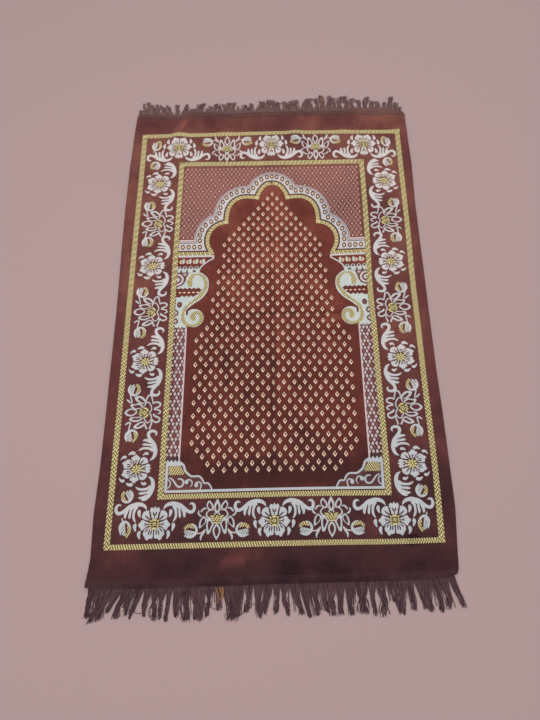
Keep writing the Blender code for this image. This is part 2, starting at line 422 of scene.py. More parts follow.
COMMAS = (  # x, y, width along each of the three loose commas at a flower's left
    ((-30, 27.4, 3.2), (-31.2, 23.8, 6.8), (-31, 19, 6), (-28.6, 12.8, 2.2)),
    ((-36.6, 1.4, 3.4), (-37.8, -2.4, 7.2), (-37.8, -7, 6), (-35.2, -14, 2.2)),
    ((-26.8, -12.8, 3.4), (-28.6, -16.8, 7), (-29, -21.4, 6), (-26.2, -28.2, 2.2)),
)


def leaf_scroll(curled):
    """The leaf at a flower's left: an arched stem with three fingers, which ends in a curl or droops."""
    stem = [(-16.6, 27.6, 1.4), (-20, 33.2, 5.4), (-26, 37, 7.2), (-34, 38.2, 8.6), (-42, 36, 10.4),
            (-50, 32.6, 10.8)]
    if curled:
        stem += [(-58, 27.5, 8), (-66, 22.5, 6.5), (-73, 21.5, 7), (-77.5, 27, 6.5), (-76.5, 35, 5.5),
                 (-71.5, 38, 4), (-67.5, 35.5, 1.5)]
    else:
        stem += [(-56, 29, 9), (-61.6, 23.4, 6), (-63, 17, 2.6)]
    fingers = [
        [(-36, 34, 7), (-40.8, 26, 5.6), (-42, 16, 5.2), (-40.2, 9, 4.4), (-36.6, 3.6, 1.6)],
        [(-46, 31, 6), (-49, 24, 6), (-49.8, 17, 6), (-49.4, 10.6, 2.4)],
        [(-54, 29, 7), (-57.2, 22, 6.4), (-58.6, 15.6, 5.2), (-57.8, 11, 2.4)],
    ]
    gaps = slits(PILE, (-45.2, 13, -45.2, 28, 2.2), (-53.4, 14, -51, 29, 2.0))
    return bands(WHITE, stem, *fingers) + gaps


def leaf_pair(left_curled, right_curled):
    return leaf_scroll(left_curled) + flipped(leaf_scroll(right_curled))


def flower():
    """A flower of the two ends."""
    return leaf_pair(True, True) + both_halves(bands(WHITE, *COMMAS)) + flower_petals() + flower_heart()


# the flowers of the long sides are drawn as they lie at the left: a little smaller, with a wide middle
SIDE_PETALS = 0.92              # their size beside those of the two ends
SIDE_HEART = (3, -1)
RAYS = 9                        # gold strokes round that middle
RAY_START, RAY_END = (4.8, 4.2), (11.0, 9.6)
SIDE_COMMAS = (
    ((-2.2, 30.4, 3.4), (-5.4, 31.8, 7.2), (-10.6, 32, 6.2), (-16.4, 28.2, 2)),
    ((24.4, 28.8, 3), (21.6, 30.4, 6.6), (18, 30.8, 5), (13.4, 27, 2)),
    ((-19.8, 22.4, 3.4), (-22.8, 24, 6.6), (-26.8, 23.6, 4.8), (-31.2, 18, 1.8)),
)


def side_flower(up_curled, down_curled):
    petals = [(yarn, [(x * SIDE_PETALS, y * SIDE_PETALS + 1.0) for x, y in outline])
              for yarn, outline in flower_petals()]
    turned = placed(leaf_pair(up_curled, down_curled) + petals, (0, 0), (1, 0))
    commas = bands(WHITE, *[[(x, side * y, width) for x, y, width in comma]
                            for comma in SIDE_COMMAS for side in (1, -1)])
    x, y = SIDE_HEART
    turns = [math.radians(20 + 360 / RAYS * ray) for ray in range(RAYS)]
    rays = slits(GOLD, *[(x + RAY_START[0] * math.cos(turn), y + RAY_START[1] * math.sin(turn),
                          x + RAY_END[0] * math.cos(turn), y + RAY_END[1] * math.sin(turn), 3.2)
                         for turn in turns])
    heart = inked(OLIVE, ellipse(x, y, 11.6, 10.2, 18)) + rays + inked(HATCHED, ellipse(x, y, 4.6, 4.4, 12))
    return turned + commas + heart


BUD_LENGTH, BUD_WIDTH = 14.0, 13.5           # half of each, as it is drawn


def bud(half_length=BUD_LENGTH, half_width=BUD_WIDTH):
    """A bud whose stem is below it: a white crescent, gold strokes round the tip, and a dark drop."""
    across, along = half_width / BUD_WIDTH, half_length / BUD_LENGTH

    def sized(*corners):
        return [(x * across, y * along) for x, y in corners]

    shapes = inked(PILE, ellipse(-0.6 * across, 0.6 * along, 12.0 * across, 12.4 * along, 16))
    shapes += inked(
        HATCHED,
        sized((-5.4, 11.4), (-9.6, 8.8), (-12.6, 3.6), (-12.6, -3), (-9.8, -7.8), (-7.4, -8.2), (-5.0, -1),
              (-3.8, 5.2)),
        sized((-5.4, 11.4), (-3.8, 5.2), (1.4, 6.0), (4.0, 8.2), (3.4, 12.4), (-1, 13.4)))
    shapes += inked(PALE_HATCHED, sized(
        (2.6, 5.6), (4.4, 8.8), (7.6, 8.4), (10.8, 4), (10.6, -4), (4, -10.4), (-1.4, -10), (-1.0, -5)))
    crescent = ((13, 5.4, 1.6), (12, -2, 4.4), (9, -8.6, 5.4), (2, -12.2, 5.8), (-5, -12.2, 5.4),
                (-10.6, -8, 4.2), (-13, -1.6, 2.6), (-12.4, 4, 1.2))
    vein = ((2.2, 5.6, 1.4), (0.2, -3, 2.2), (-1, -10, 3.2))
    return shapes + bands(WHITE, *[[(x * across, y * along, width) for x, y, width in line]
                                   for line in (crescent, vein)])


# the lotus: each open petal is an outline in white and its inside in pile; the left ones are mirrored
LOTUS_TOP = (
    ((0, 36.8), (-3, 31.8), (-5.9, 25.5), (-6.2, 21.5), (-4.8, 17), (-5.4, 13.8), (0, 7.6)),
    ((0, 27.5), (-2.4, 22), (-2.3, 17.4), (0, 12.6)),
)
LOTUS_FOOT = (
    ((0, -11.4), (-3.4, -13.8), (-6.8, -19.4), (-7.8, -25.5), (-5.6, -33), (-2.2, -39), (0, -42)),
    ((0, -15.8), (-3.3, -20.4), (-4.4, -26), (-2.6, -31.6), (0, -35.6)),
)
LOTUS_SIDES = (
    (((-16.2, 33.8), (-19.8, 30.4), (-21.3, 26.4), (-21, 22), (-18.4, 16.6), (-16, 12.8), (-12.6, 14.4),
      (-7.4, 17.2), (-6, 18.8), (-8.8, 25.8), (-12.5, 30.6)),
     ((-16.2, 29.4), (-18.5, 25.4), (-18.2, 21.5), (-14.2, 16.8), (-11, 18.2), (-10.8, 21.5), (-13, 26))),
    (((-26.2, 3.8), (-29.8, 0.8), (-33.2, -4), (-35, -10), (-35, -18.4), (-32.6, -19.4), (-28, -15.6),
      (-23.2, -10.8), (-20.4, -5), (-19.8, -1), (-23, 1.4)),
     ((-26.8, -0.2), (-29.8, -4.2), (-31.5, -10.5), (-31.2, -15.4), (-27, -12.4), (-23.9, -8.2),
      (-22.9, -3.6), (-24.6, -1))),
    (((-19.6, -1.6), (-20.4, -8), (-20.8, -15), (-20, -23), (-19.2, -29.6), (-15.8, -31), (-12.6, -27.5),
      (-10.2, -21.5), (-7.2, -15), (-5.4, -10.4), (-9, -7.2), (-14, -2.4)),
     ((-15.2, -5.6), (-17, -10), (-17.3, -16), (-16.2, -22.6), (-14, -22.4), (-11.6, -16.4),
      (-9.8, -11.6), (-11.5, -8))),
    (((-3.6, 14.4), (-10.4, 16), (-17, 14.6), (-21.8, 9.6), (-22.6, 5), (-20.2, 0.8), (-15.4, -3.4),
      (-10.5, -6.4), (-4, 0)),
     ((-4, 13.2), (-10.4, 14.2), (-16, 12.4), (-19, 8.6), (-19.2, 5.2), (-17.2, 2.8), (-13, 0.8),
      (-8, 3))),
)
LOTUS_HEART = (
    (0, 6), (-4.4, 5.2), (-8.7, 6.8), (-12.6, 5.4), (-14.6, 2.6), (-11.2, -2.5), (-8.4, -6.6),
    (-5, -9.8), (0, -11.2),
)


def mirrored(half):
    """A closed outline from its left half, which starts and ends on x = 0."""
    return list(half) + [(-x, y) for x, y in reversed(half[1:-1])]


def open_petals(pairs):
    """Petals that are each an outline in white with its inside in pile."""
    shapes = []
    for outer, inner in pairs:
        shapes += inked(WHITE, smooth(outer)) + inked(PILE, smooth(inner))
    return shapes


def lotus():
    """Nine open petals round a gold heart, with a bud on a thin stem at either side."""
    sides = open_petals(LOTUS_SIDES)
    sides += bands(
        WHITE,
        [(-20.6, 17.6, 2), (-25, 18.6, 3.2), (-29.4, 15.4, 3.6), (-32, 11.2, 2.8)],
        [(-36, 15, 2), (-36.9, 9.6, 3.4), (-34, 5.4, 3.6), (-30.2, 3.2, 2.4)],
        [(-22, -21.2, 2.6), (-25.2, -27, 4.4), (-29.4, -33.4, 4.4), (-30.6, -37.5, 3.6), (-30.2, -42, 1.6)])
    sides += bands(BLUSH, [(-24.6, -24.4, 3), (-29.5, -28, 3), (-39.5, -29.2, 2.4)],
                   [(-16, 15.4, 1.5), (-4.6, 15.2, 1.5)])
    sides += placed(flipped(bud()), (-52.5, -23), (-0.89, 0.46))
    middle = open_petals([[mirrored(line) for line in petal] for petal in (LOTUS_TOP, LOTUS_FOOT)])
    wings = slits(GOLD, (-13.2, 4, -4.8, 1.4, 2.9), (-11.6, -0.4, -4.8, -2.6, 2.6),
                  (-8.8, -4.4, -3.6, -6.2, 2.2))
    heart = inked(OLIVE, smooth(mirrored(LOTUS_HEART))) + both_halves(wings)
    heart += inked(GOLD, line_of([(-6, -8.6), (0, -10.2), (6, -8.6)], 2.4))
    heart += inked(HATCHED, ellipse(0, -1, 4.2, 6.4, 12))
    return both_halves(sides) + middle + heart


# the lotus of the long sides, as it lies at the left: open petals, then plain lines of x, y, width
SIDE_LOTUS_PETALS = (
    (((-43.6, 0), (-38, 6.5), (-31.1, 8.8), (-24.9, 7.8), (-19.3, 5.3), (-16.6, 0.6), (-18.6, -3.4),
      (-22.4, -5.6), (-26.1, -7.9), (-33, -8.5), (-39.3, -6)),
     ((-38.6, 0.2), (-34.3, 4.6), (-29.3, 5.9), (-23, 4.4), (-19.9, 1.5), (-23, -2.2), (-26.8, -4.8),
      (-32.4, -4.8), (-36.8, -2.5))),
    (((-32.4, 16.5), (-29.9, 18.6), (-22, 18.2), (-15.5, 20.5), (-9.3, 17.8), (-4.3, 12.8), (-6, 9.2),
      (-12, 8), (-18, 6.4), (-23, 7.4), (-28, 9), (-31.1, 12.8)),
     ((-27.4, 13.6), (-23, 15.3), (-15.5, 16.5), (-10.5, 14.2), (-6.8, 10.8), (-11.8, 10), (-19.3, 9.2),
      (-24.3, 10.4))),
    (((-24.9, 32.8), (-23, 35.3), (-16.8, 36.3), (-10.5, 35.3), (-4.9, 31.5), (0.8, 24.6), (0.2, 20.6),
      (-6.8, 18.2), (-11.1, 19.6), (-16.8, 22.1), (-21.8, 26.5)),
     ((-18, 30), (-14.3, 31.8), (-9.9, 29.4), (-4.3, 24.4), (-2.4, 20.8), (-6.8, 21), (-12.4, 24))),
    (((-22.4, -32.9), (-21.1, -28.5), (-15.5, -24.1), (-9.9, -21), (-4.9, -19.6), (1.4, -22.5), (0.8, -28.4),
      (-4.9, -32.9), (-11.8, -35.4), (-18.6, -35)),
     ((-15.9, -30.4), (-11.8, -26.8), (-6.8, -23.2), (-1.4, -23), (-3, -26.6), (-9.3, -30.2), (-13.6, -32))),
    (((-32.6, -15.4), (-30, -10.6), (-25.6, -9.8), (-20, -10.2), (-13, -9.4), (-5, -9.4), (-3.6, -13),
      (-8.4, -17.2), (-15, -20.6), (-23.5, -20.4), (-30, -18)),
     ((-27.4, -14.4), (-22.5, -12.4), (-15, -12.2), (-8, -11.6), (-10, -14.6), (-15.5, -16.6), (-23, -16.6))),
)
SIDE_LOTUS_LINES = (
    ((0.5, 25, 2.6), (2, 32, 3.6), (5, 36.6, 3.8), (10.2, 37.2, 3.8), (12.2, 30.6, 3.2), (13.9, 25.2, 3),
     (15.4, 17.8, 2.4)),
    ((0.5, -24.5, 3), (3, -31, 3.6), (6, -36.5, 4.2)),
    ((11.5, -36.8, 4.2), (12.8, -31, 3.4), (15, -24, 3.2), (15.4, -16.5, 2.6)),
    ((-2.4, 12.8, 2.4), (0.1, 20.3, 2.6), (5.1, 21.9, 2.8), (10.1, 15.9, 2.8), (12.8, 9, 2.8), (12, 2.8, 2.8),
     (8.8, -0.4, 2.4)),
    ((8.8, -0.6, 2.4), (12, -6, 2.8), (13.9, -12.3, 2.8), (12.6, -17.3, 2.8), (9.5, -21.6, 2.6),
     (5.1, -22.9, 2.6), (0.8, -17.3, 2.6), (-2.4, -12.3, 2.4)),
    ((15.6, 18, 2.6), (18.5, 21, 3.6), (24, 21.6, 4), (29.5, 19.4, 4), (31, 15.8, 3.8), (28.6, 12, 3.8),
     (23.5, 9.6, 4), (18.5, 7.4, 4.4)),
    ((18, 6.4, 4), (24, 5.2, 3.2), (29, 3.8, 3.4), (31.8, 0.8, 3.6), (30, -2.6, 3.2), (26, -3.6, 2.4)),
    ((17.4, -3.4, 3.6), (19.5, -7.4, 4.4), (25, -10.4, 4.2), (30, -13, 3.8), (31.4, -17, 3.6), (28.6, -21, 4),
     (23.4, -22, 4), (18.6, -19.6, 3.4), (15.4, -15.6, 2.6)),
    ((-34.3, 39, 3), (-32.4, 32.1, 3), (-30, 25.3, 2.8), (-29.6, 19.6, 2.8)),
    ((-41.3, 28.6, 2.6), (-37, 25.3, 4), (-32.4, 21, 3.4)),
    ((-31.8, -39.8, 2.6), (-30.5, -31, 3), (-29.3, -26, 3.2), (-28.6, -21.2, 3)),
    ((-39.6, -26.8, 2.6), (-35, -22.9, 4), (-30, -21.4, 3.6)),
)


def side_lotus():
    """Five open petals and lined ones round a gold heart, with a bud above and one below."""
    shapes = open_petals(SIDE_LOTUS_PETALS) + bands(WHITE, *SIDE_LOTUS_LINES)
    shapes += inked(OLIVE, ellipse(-2.4, -1, 11, 11.8, 18))
    shapes += bands(GOLD, [(-4, 9.2, 3), (2, 7.8, 3.4), (6, 2.5, 3)],
                    [(6.4, -4, 3), (3, -9.4, 3.4), (-3, -11.8, 3)])
    shapes += slits(GOLD, (-12, 6, -5.5, 4, 2.6), (-13, 1.6, -6.5, 0, 2.3), (-14, -2.8, -7.5, -3.8, 2.5),
                    (-11.5, -7.8, -6, -7, 2.5))
    shapes += inked(HATCHED, ellipse(-1, -1.6, 5.2, 5.6, 12))
    return (shapes + placed(flipped(bud()), (-26.1, 51.5), (0.46, 0.89))
            + placed(bud(), (-24.3, -52), (0.46, -0.89)))


# ---- the woven design ------------------------------------------------------------------------------
SIDE_BAND, HEAD_BAND, FOOT_BAND = 12.2, 12.8, 10.4      # widths of the gold bands
BRAID_CHANGE = 60.0             # above here every second stroke of the side bands is much the wider
OUTER = (331.4, 505.2, -506.2, -8.0)         # the outer frame: half width, head y, foot y, plain as far as
INNER = (233.4, 413.6, -412.6, -233.4)

# where the motifs lie, those at the left for both sides, and which way is up in the motifs of the two ends
FLOWERS = (((-236, -459), (0, 1)), ((-236, 459), (0, -1)))
MIDDLE_FLOWERS = (((0, -458), (0, 1)), ((0, 460.6), (0, -1)))
LOTUSES = (((-113, -450), (0, 1)), ((-113, 450), (0, -1)))
SIDE_FLOWERS = (  # place, whether its upper and its lower leaf is curled
    ((-282, 350), False, True), ((-282, 120.4), True, True), ((-282, -117), True, True),
    ((-282, -350), True, False),
)
SIDE_LOTUSES = ((-271, 235), (-271, 1.6), (-271, -231.6))
CORNER_BUDS = (  # place, direction of the tip, half length, half width, whether its gold is to the right
    ((-294.5, -404), (-0.74, 0.67), 12.6, 12.6, False),
    ((-294.5, 404), (-0.74, -0.67), 12.6, 12.6, True),
    ((-292, -469), (0.34, -0.94), 16.6, 11.2, False),
    ((-292, 469), (0.34, 0.94), 16.6, 11.2, True),
)
CORNER_STEM = ((-300.5, -446), (-297.5, -456))      # the tip of the low bud's stem


def braid(left, low, right, high, lengthwise, shares, lean, hatch):
    """A band of slanting strokes in strands that lean in turn, each half a stroke on from the one before."""
    rise = math.radians(hatch[0])
    shapes = inked(OLIVE, box(left, low, right, high))
    seams = [mix(left, right, share) if lengthwise else mix(low, high, share) for share in shares]
    start = 0.0
    for near, far in zip(seams, seams[1:]):
        if lengthwise:
            strand, through = box(near, low, far, high), (near, start)
            start += lean * (far - near) * math.tan(rise) + hatch[1] / math.cos(rise) / 2
        else:
            strand, through = box(left, near, right, far), (start, near)
            start += lean * (far - near) / math.tan(rise) + hatch[1] / math.sin(rise) / 2
        shapes += inked(GOLD, *strokes(strand, lean, through, hatch))
        lean = -lean
    return shapes


def gold_frame(half_width, head, foot, plain_end):
    """One rectangular band of braided gold; its foot has a single row of strokes as far as plain_end."""
    shapes = []
    for low, high, shares, hatch in ((head - HEAD_BAND, head, STRAND_SHARES, HEAD_HATCH),
                                     (foot, foot + FOOT_BAND, FOOT_SHARES, FOOT_HATCH)):
        shapes += braid(-half_width, low, half_width, high, False, shares, RISING, hatch)
    if plain_end > -half_width:
        plain = box(-half_width, foot, plain_end, foot + FOOT_BAND)
        shapes += inked(OLIVE, plain) + inked(GOLD, *strokes(plain, FALLING, (0, foot), FOOT_HATCH))
    inner = half_width - SIDE_BAND
    for low, high, hatch in ((foot, BRAID_CHANGE, SIDE_HATCH), (BRAID_CHANGE, head, HEAD_SIDE_HATCH)):
        shapes += braid(-half_width, low, -inner, high, True, STRAND_SHARES, RISING, hatch)
        shapes += braid(inner, low, half_width, high, True, STRAND_SHARES, FALLING, hatch)
    return shapes


PANEL_LEFT = -220.5             # where the panel inside the inner frame starts

# the trellis over the arch
TRELLIS = (PANEL_LEFT, 146.0, -PANEL_LEFT, 400.5)       # left, low, right, high
TRELLIS_ROWS, TRELLIS_COLUMNS = range(-8, 11), range(-22, 23)
TRELLIS_STEP = 10.1                          # across
TRELLIS_ROW = 16.4                           # between rows of one kind
TRELLIS_START = (0.8, 260.0)                 # a lozenge that the others are counted from
TRELLIS_MARGIN = (3, 5)                      # how far in from its edge the last middles lie
TRELLIS_LOZENGE, TRELLIS_DOT = (4.0, 6.5), (2.0, 3.4)


def trellis():
    """Rose lozenges in offset rows; every second one of every second row is a bright dot."""
    left, low, right, high = TRELLIS
    shapes = inked(RUSSET, box(left, low, right, high))
    for row in TRELLIS_ROWS:
        for column in TRELLIS_COLUMNS:
            x = TRELLIS_START[0] + column * TRELLIS_STEP
            y = TRELLIS_START[1] + row * TRELLIS_ROW
            between = (x + TRELLIS_STEP / 2, y - TRELLIS_ROW / 2, False)
            for centre_x, centre_y, dot in ((x, y, (column + row) % 2 == 1), between):
                in_x = left + TRELLIS_MARGIN[0] < centre_x < right - TRELLIS_MARGIN[0]
                in_y = low + TRELLIS_MARGIN[1] < centre_y < high - TRELLIS_MARGIN[1]
                if in_x and in_y:
                    size = TRELLIS_DOT if dot else TRELLIS_LOZENGE
                    shapes += inked(CREAM if dot else ROSE, lozenge(centre_x, centre_y, *size))
    return shapes


# the arch: the inner edge of its gold band, one row of points for each lobe, from its crown down
LOBES = (
    ((0, 343), (-12, 340), (-22, 329), (-29, 315), (-33, 300)),
    ((-33, 300), (-50, 302.5), (-70, 303), (-85, 297), (-95, 287), (-101, 275), (-104, 262),
     (-105, 248), (-105, 232)),
    ((-105, 232), (-112, 231), (-125, 227), (-135, 220), (-143, 210), (-147, 200), (-149, 187),
     (-147, 172), (-141, 160), (-137, 150), (-137, 146)),
)
ARCH_STEPS = (  # how far out from that edge, yarn, top of the level run that carries it to the frame
    (38.6, RUSSET, 189.5),
    (37.4, BLUSH, 188.0),
    (35.4, BROWN, 183.4),
    (34.2, WHITE, 182.2),
    (31.4, BROWN, 179.6),
    (30.2, WHITE, 178.0),
    (13.4, BROWN, 158.2),
    (10.1, OLIVE, 154.6),
)
RUN_LOW = 144.4                 # foot of the arch's gold band along the level run
RUN_END, GOLD_END = -150, -143  # how far the runs reach under the lobes, the outer steps and the gold
RUN_THROUGH = (143, 150)        # a point that one of the gold run's strokes passes through
LOBE_ROWS = {  # rows of strokes in the gold band: from, to, and which way they lean
    1: ((0.7, 9.5, 1),),
    2: ((0.7, 5.0, 1), (5.0, 9.5, -1)),
}
LOBE_STROKES = (0.50, 0.74)     # how much of the pitch a stroke takes, and how much the next one
BEADS = (  # the last one is in the middle
    (-12, 365.5), (-26, 359), (-38, 347.5), (-47, 334), (-58, 325.5), (-72, 326), (-87, 322),
    (-100, 316), (-112, 307), (-121, 294), (-126, 278), (-128, 262), (-135, 247), (-147, 238),
    (-160, 228), (-168, 214.5), (-172, 200), (-172, 185),
    (-171, 168), (-184.5, 168), (-198, 168), (-211.5, 168), (0, 367.5),
)


def lobe_outline(lobe, out):
    """A lobe's edge moved outward, closed through the middle of the arch."""
    edge = smooth(lobe, 4, closed=False)
    moved = [(x - nx * out, y - ny * out) for (x, y), (nx, ny) in zip(edge, normals(edge))]
    moved[0] = (min(0.0, moved[0][0]), moved[0][1])
    return moved + [(0, moved[-1][1]), (0, moved[0][1])]


def lobe_strokes(lobe, rows):
    """Slanting strokes across a lobe's gold band, in one row or in two that lean apart."""
    edge = smooth(lobe, 8, closed=False)
    reach = [0.0]
    for start, end in zip(edge, edge[1:]):
        reach.append(reach[-1] + math.dist(start, end))
    outward = [(-nx, -ny) for nx, ny in normals(edge)]

    def at(along, out):
        """The point so far along the edge and so far out from it."""
        along = min(reach[-1] - 0.01, max(0.0, along))      # just short of the last point
        index = max(step for step in range(len(reach) - 1) if reach[step] <= along)
        share = (along - reach[index]) / (reach[index + 1] - reach[index])
        x, y = (mix(edge[index][axis], edge[index + 1][axis], share) for axis in (0, 1))
        nx, ny = (mix(outward[index][axis], outward[index + 1][axis], share) for axis in (0, 1))
        return x + nx * out, y + ny * out

    rise, pitch = PATCH_HATCH[:2]
    cut = []
    for low, high, lean in LOBE_ROWS[rows]:
        shift = lean * (high - low) / math.tan(math.radians(rise))
        for index in range(-2, int(reach[-1] / pitch) + 3):
            start = index * pitch - (shift if lean < 0 else 0)
            thick = pitch * LOBE_STROKES[index % 2]
            if -pitch < start < reach[-1]:
                cut.append([at(start, low), at(start + thick, low), at(start + thick + shift, high),
                            at(start + shift, high)])
    return cut


def arch():
    """The white and gold surround of the niche, the level runs to the frame, and the bare niche."""
    shapes = []
    for out, yarn, top in ARCH_STEPS:
        half = inked(yarn, *[lobe_outline(lobe, out) for lobe in LOBES])
        shapes += both_halves(half + inked(yarn, box(PANEL_LEFT, RUN_LOW, RUN_END, top)))
    left, right = (inked(GOLD, *[part for lobe in LOBES for part in lobe_strokes(lobe, rows)])
                   for rows in (1, 2))
    shapes += left + flipped(right)
    for left, right in ((PANEL_LEFT, GOLD_END), (-GOLD_END, -PANEL_LEFT)):
        run = box(left, RUN_LOW, right, ARCH_STEPS[-1][2])
        shapes += inked(OLIVE, run) + inked(GOLD, *strokes(run, FALLING, RUN_THROUGH, RUN_HATCH))
    for lobe in LOBES:
        shapes += both_halves(inked(PILE, lobe_outline(lobe, 0.0)))
    return shapes + beads()


def beads():
    """The brown eyes with pale middles in the arch's white band."""
    shapes = []
    for x, y in BEADS:
        eye = inked(BROWN, ellipse(x, y, 5.0, 6.8, 12)) + inked(CREAM, ellipse(x, y, 2.3, 3.6, 10))
        shapes += both_halves(eye) if x else eye
    return shapes


# the corbel under each end of the arch, drawn at the left
CORBEL_SCROLL = (  # the right edge of the pearl body, from its top down to where the lower disc starts
    (-170, 100), (-163, 98), (-155, 91), (-149, 82), (-147, 70), (-148, 58), (-151, 48), (-157, 39),
    (-166, 29), (-178, 20), (-188, 11.6), (-194, 2.6), (-196, -6), (-195, -14),
)
CORBEL_GOLD = (  # the gold band that winds through it: x, y, width
    (-189.4, 63.5, 7), (-190.6, 70, 12), (-191, 79.5, 12), (-186.6, 90, 9.4), (-178, 95, 4.6),
    (-168, 94, 5.2), (-158.6, 86, 7.4), (-153.6, 73, 8.4), (-154.2, 60, 8), (-160, 47.4, 8),
    (-170, 36, 8), (-182, 25, 6.4),
    (-194, 15, 5.6), (-200.6, 4.6, 6.4), (-203.4, -8, 7.4), (-202, -20, 8.4), (-196.4, -28.8, 8.4),
    (-187, -34, 6.4), (-176.4, -34.2, 5.4), (-166.2, -29.4, 7), (-160.6, -19.4, 8.6), (-162.4, -9, 9),
    (-169, -2.8, 8.6), (-177, -3.8, 9.4), (-181, -10.6, 12), (-178, -18, 11.4), (-174.4, -19.6, 6),
)
CORBEL_DISC = (-178.2, -16, 22.4)            # the scroll's lower turn: x, y, radius


def banded(spine):
    """A curved hatched band along x, y, width rows, in short convex pieces that share their strokes."""
    edges = list(zip(*edges_of(spine, 2)))
    return inked(HATCHED, *[[near[0], near[1], far[1], far[0]] for near, far in zip(edges, edges[1:])])


def floret(x, y):
    """A small flower: a round cream petal and an upright pearl one, with a dark eye."""
    shapes = inked(CREAM, ellipse(x - 2.2, y - 0.8, 4.8, 5.0, 12))
    shapes += inked(PEARL, ellipse(x + 3.0, y + 0.8, 3.0, 7.0, 12))
    return shapes + inked(OLIVE, ellipse(x - 1.8, y - 0.8, 2.2, 2.4, 8),
                          slit((x - 0.8, y + 6.0), (x + 0.4, y + 2.4), 1.5))


def half_rings(y, *rings):
    """Half discs on the panel's left edge, one over another, the widest first."""
    turns = [math.radians(step * 15 - 90) for step in range(13)]
    return [(yarn, [(PANEL_LEFT + radius * math.cos(turn), y + radius * math.sin(turn)) for turn in turns])
            for yarn, radius in rings]


def corbel():
    """The bracket that carries the arch: a panel of florets over a scrolled body."""
    left = PANEL_LEFT
    # the panel: its top line, a row of florets, a row of eyes and a toothed foot line
    panel = [(left, 140.5), (-141, 140.5), (-148, 133), (-159, 125), (-166, 117), (-170, 108), (-171, 98),
             (left, 98)]
    curve = [(-137.5, 137), (-147, 131.5), (-158, 123.5), (-166, 115.5), (-170, 107), (-171.5, 99)]
    shapes = inked(PILE, panel)
    shapes += inked(WHITE, box(left, 140.5, -136.6, 145.4), box(-141, 136, -136.6, 145.4))
    for x in (-210.5, -195, -179, -163.5):
        shapes += floret(x, 129)
    for x in (-217.5, -204, -190, -176.5):
        shapes += inked(PEARL, ellipse(x, 111.5, 5.2, 5.4)) + inked(BROWN, ellipse(x, 112.4, 2.6, 2.9, 10))
    shapes += inked(PEARL, box(left, 99.5, -170, 110)) + inked(WHITE, line_of(curve, 3.6))
    shapes += inked(BROWN, box(-214, 100.6, -210.4, 106), box(-200.4, 100.6, -197, 106.5),
                    box(-185.5, 101.6, -178.5, 106.4), box(left, 98.2, -195.5, 100.4))

    # the body, with the half rings at its left, the disc of its lower turn, and the gap in that turn
    body = [(left, 98.4)] + smooth([(-192, 99), *CORBEL_SCROLL], 3, closed=False)
    shapes += inked(BROWN, box(left, 62, -196, 98.4)) + inked(PEARL, body + [(left, -14)])
    shapes += inked(RUSSET, [(left, 98.2), (-194, 98.2), (-199, 88), (-201, 78), (-207, 68), (left, 62)])
    shapes += inked(BLUSH, [(-209, 97.4), (-199, 97.4), (-202.6, 90.5)])
    shapes += half_rings(82, (BROWN, 18.2), (BLUSH, 15.6), (BROWN, 10.4), (PEARL, 6.4))
    x, y, radius = CORBEL_DISC
    shapes += inked(PEARL, box(left, -36.6, -194, 0), ellipse(x, y, radius, radius, 28),
                    *[ellipse(centre, -36, 4.2, 3.6, 10) for centre in (-216, -207.5, -199)])
    shapes += inked(PILE, smooth([(-194.6, -9.5), (-196.4, -0.5), (-194, 6.5), (-189, 9.4), (-191.6, 2.6),
                                  (-191.4, -3.4)]))

    # the dark toothed band across the body, with its row of cream dots, and the eyes below it
    teeth_top = [(x, 61.0 if step % 2 else 57.0) for step, x in enumerate(range(-216, -164, 5))]
    teeth_low = [(x, 37.0 if step % 2 else 41.4) for step, x in enumerate(range(-177, -217, -5))]
    shapes += inked(PILE, [(left, 61)] + teeth_top + [(-162.6, 55), (-169, 47), (-174, 42)] + teeth_low
                    + [(left, 37)])
    for x in (-212.5, -202.5, -192, -181.5, -172):
        shapes += inked(CREAM, ellipse(x, 48.6, 3.2, 2.1, 10))
    shapes += inked(BROWN, ellipse(-211.5, 17.6, 5.8, 7.6)) + inked(CORAL, ellipse(-211.5, 17.6, 3, 4.4, 10))
    for y in (-2.4, -23):
        shapes += half_rings(y, (BROWN, 7.6), (BLUSH, 4.2))
    return both_halves(shapes + banded(CORBEL_GOLD))


# the columns that carry the corbels
COLUMN = (PANEL_LEFT, -192.4, -338.0, -37.0)            # left, right, foot, head
COLUMN_STEP = 8.18
COLUMN_TOP = -29.0              # middle of the first row of lozenges, under the corbel
COLUMN_LOZENGE = (3.1, 5.2)


def column():
    """Close rows of small lozenges, blush and coral, with a scalloped edge along the niche."""
    left, right, foot, head = COLUMN
    shapes = inked(BROWN, box(left, foot, right, head))
    for row in range(1, int((COLUMN_TOP - foot) / COLUMN_STEP)):
        y = COLUMN_TOP - row * COLUMN_STEP
        if row % 2 == 0:
            shapes += inked(BLUSH, *[lozenge(x, y, *COLUMN_LOZENGE) for x in (-211, -203.2)],
                            [(left, y - 4.6), (-216.4, y), (left, y + 4.6)], lozenge(-195.4, y, 2.8, 6.4))
        else:
            for place, x in enumerate((-214.6, -207, -199.4)):
                pale = (place % 2 == 0) == (row % 4 == 3)
                shapes += inked(BLUSH if pale else CORAL, lozenge(x, y, *COLUMN_LOZENGE))
    return both_halves(shapes + inked(BLUSH, box(right - 3.2, foot, right, head)))


# the niche's lower corners
CORNER_EDGE = (  # the white line along the niche: x, y, width
    (-190, -340, 5), (-184, -346, 4.8), (-180, -357, 4.6), (-173, -364, 4.4), (-166, -368, 4.2),
    (-153, -368, 4), (-146, -373, 3.8), (-141, -382, 3.6), (-134, -382, 3.6), (-129, -387, 3.4),
    (-125, -395, 3.2),
)
NICHE_FOOT = (-400.0, -394.6)   # the white line along the panel's foot, from its lower edge to its upper one


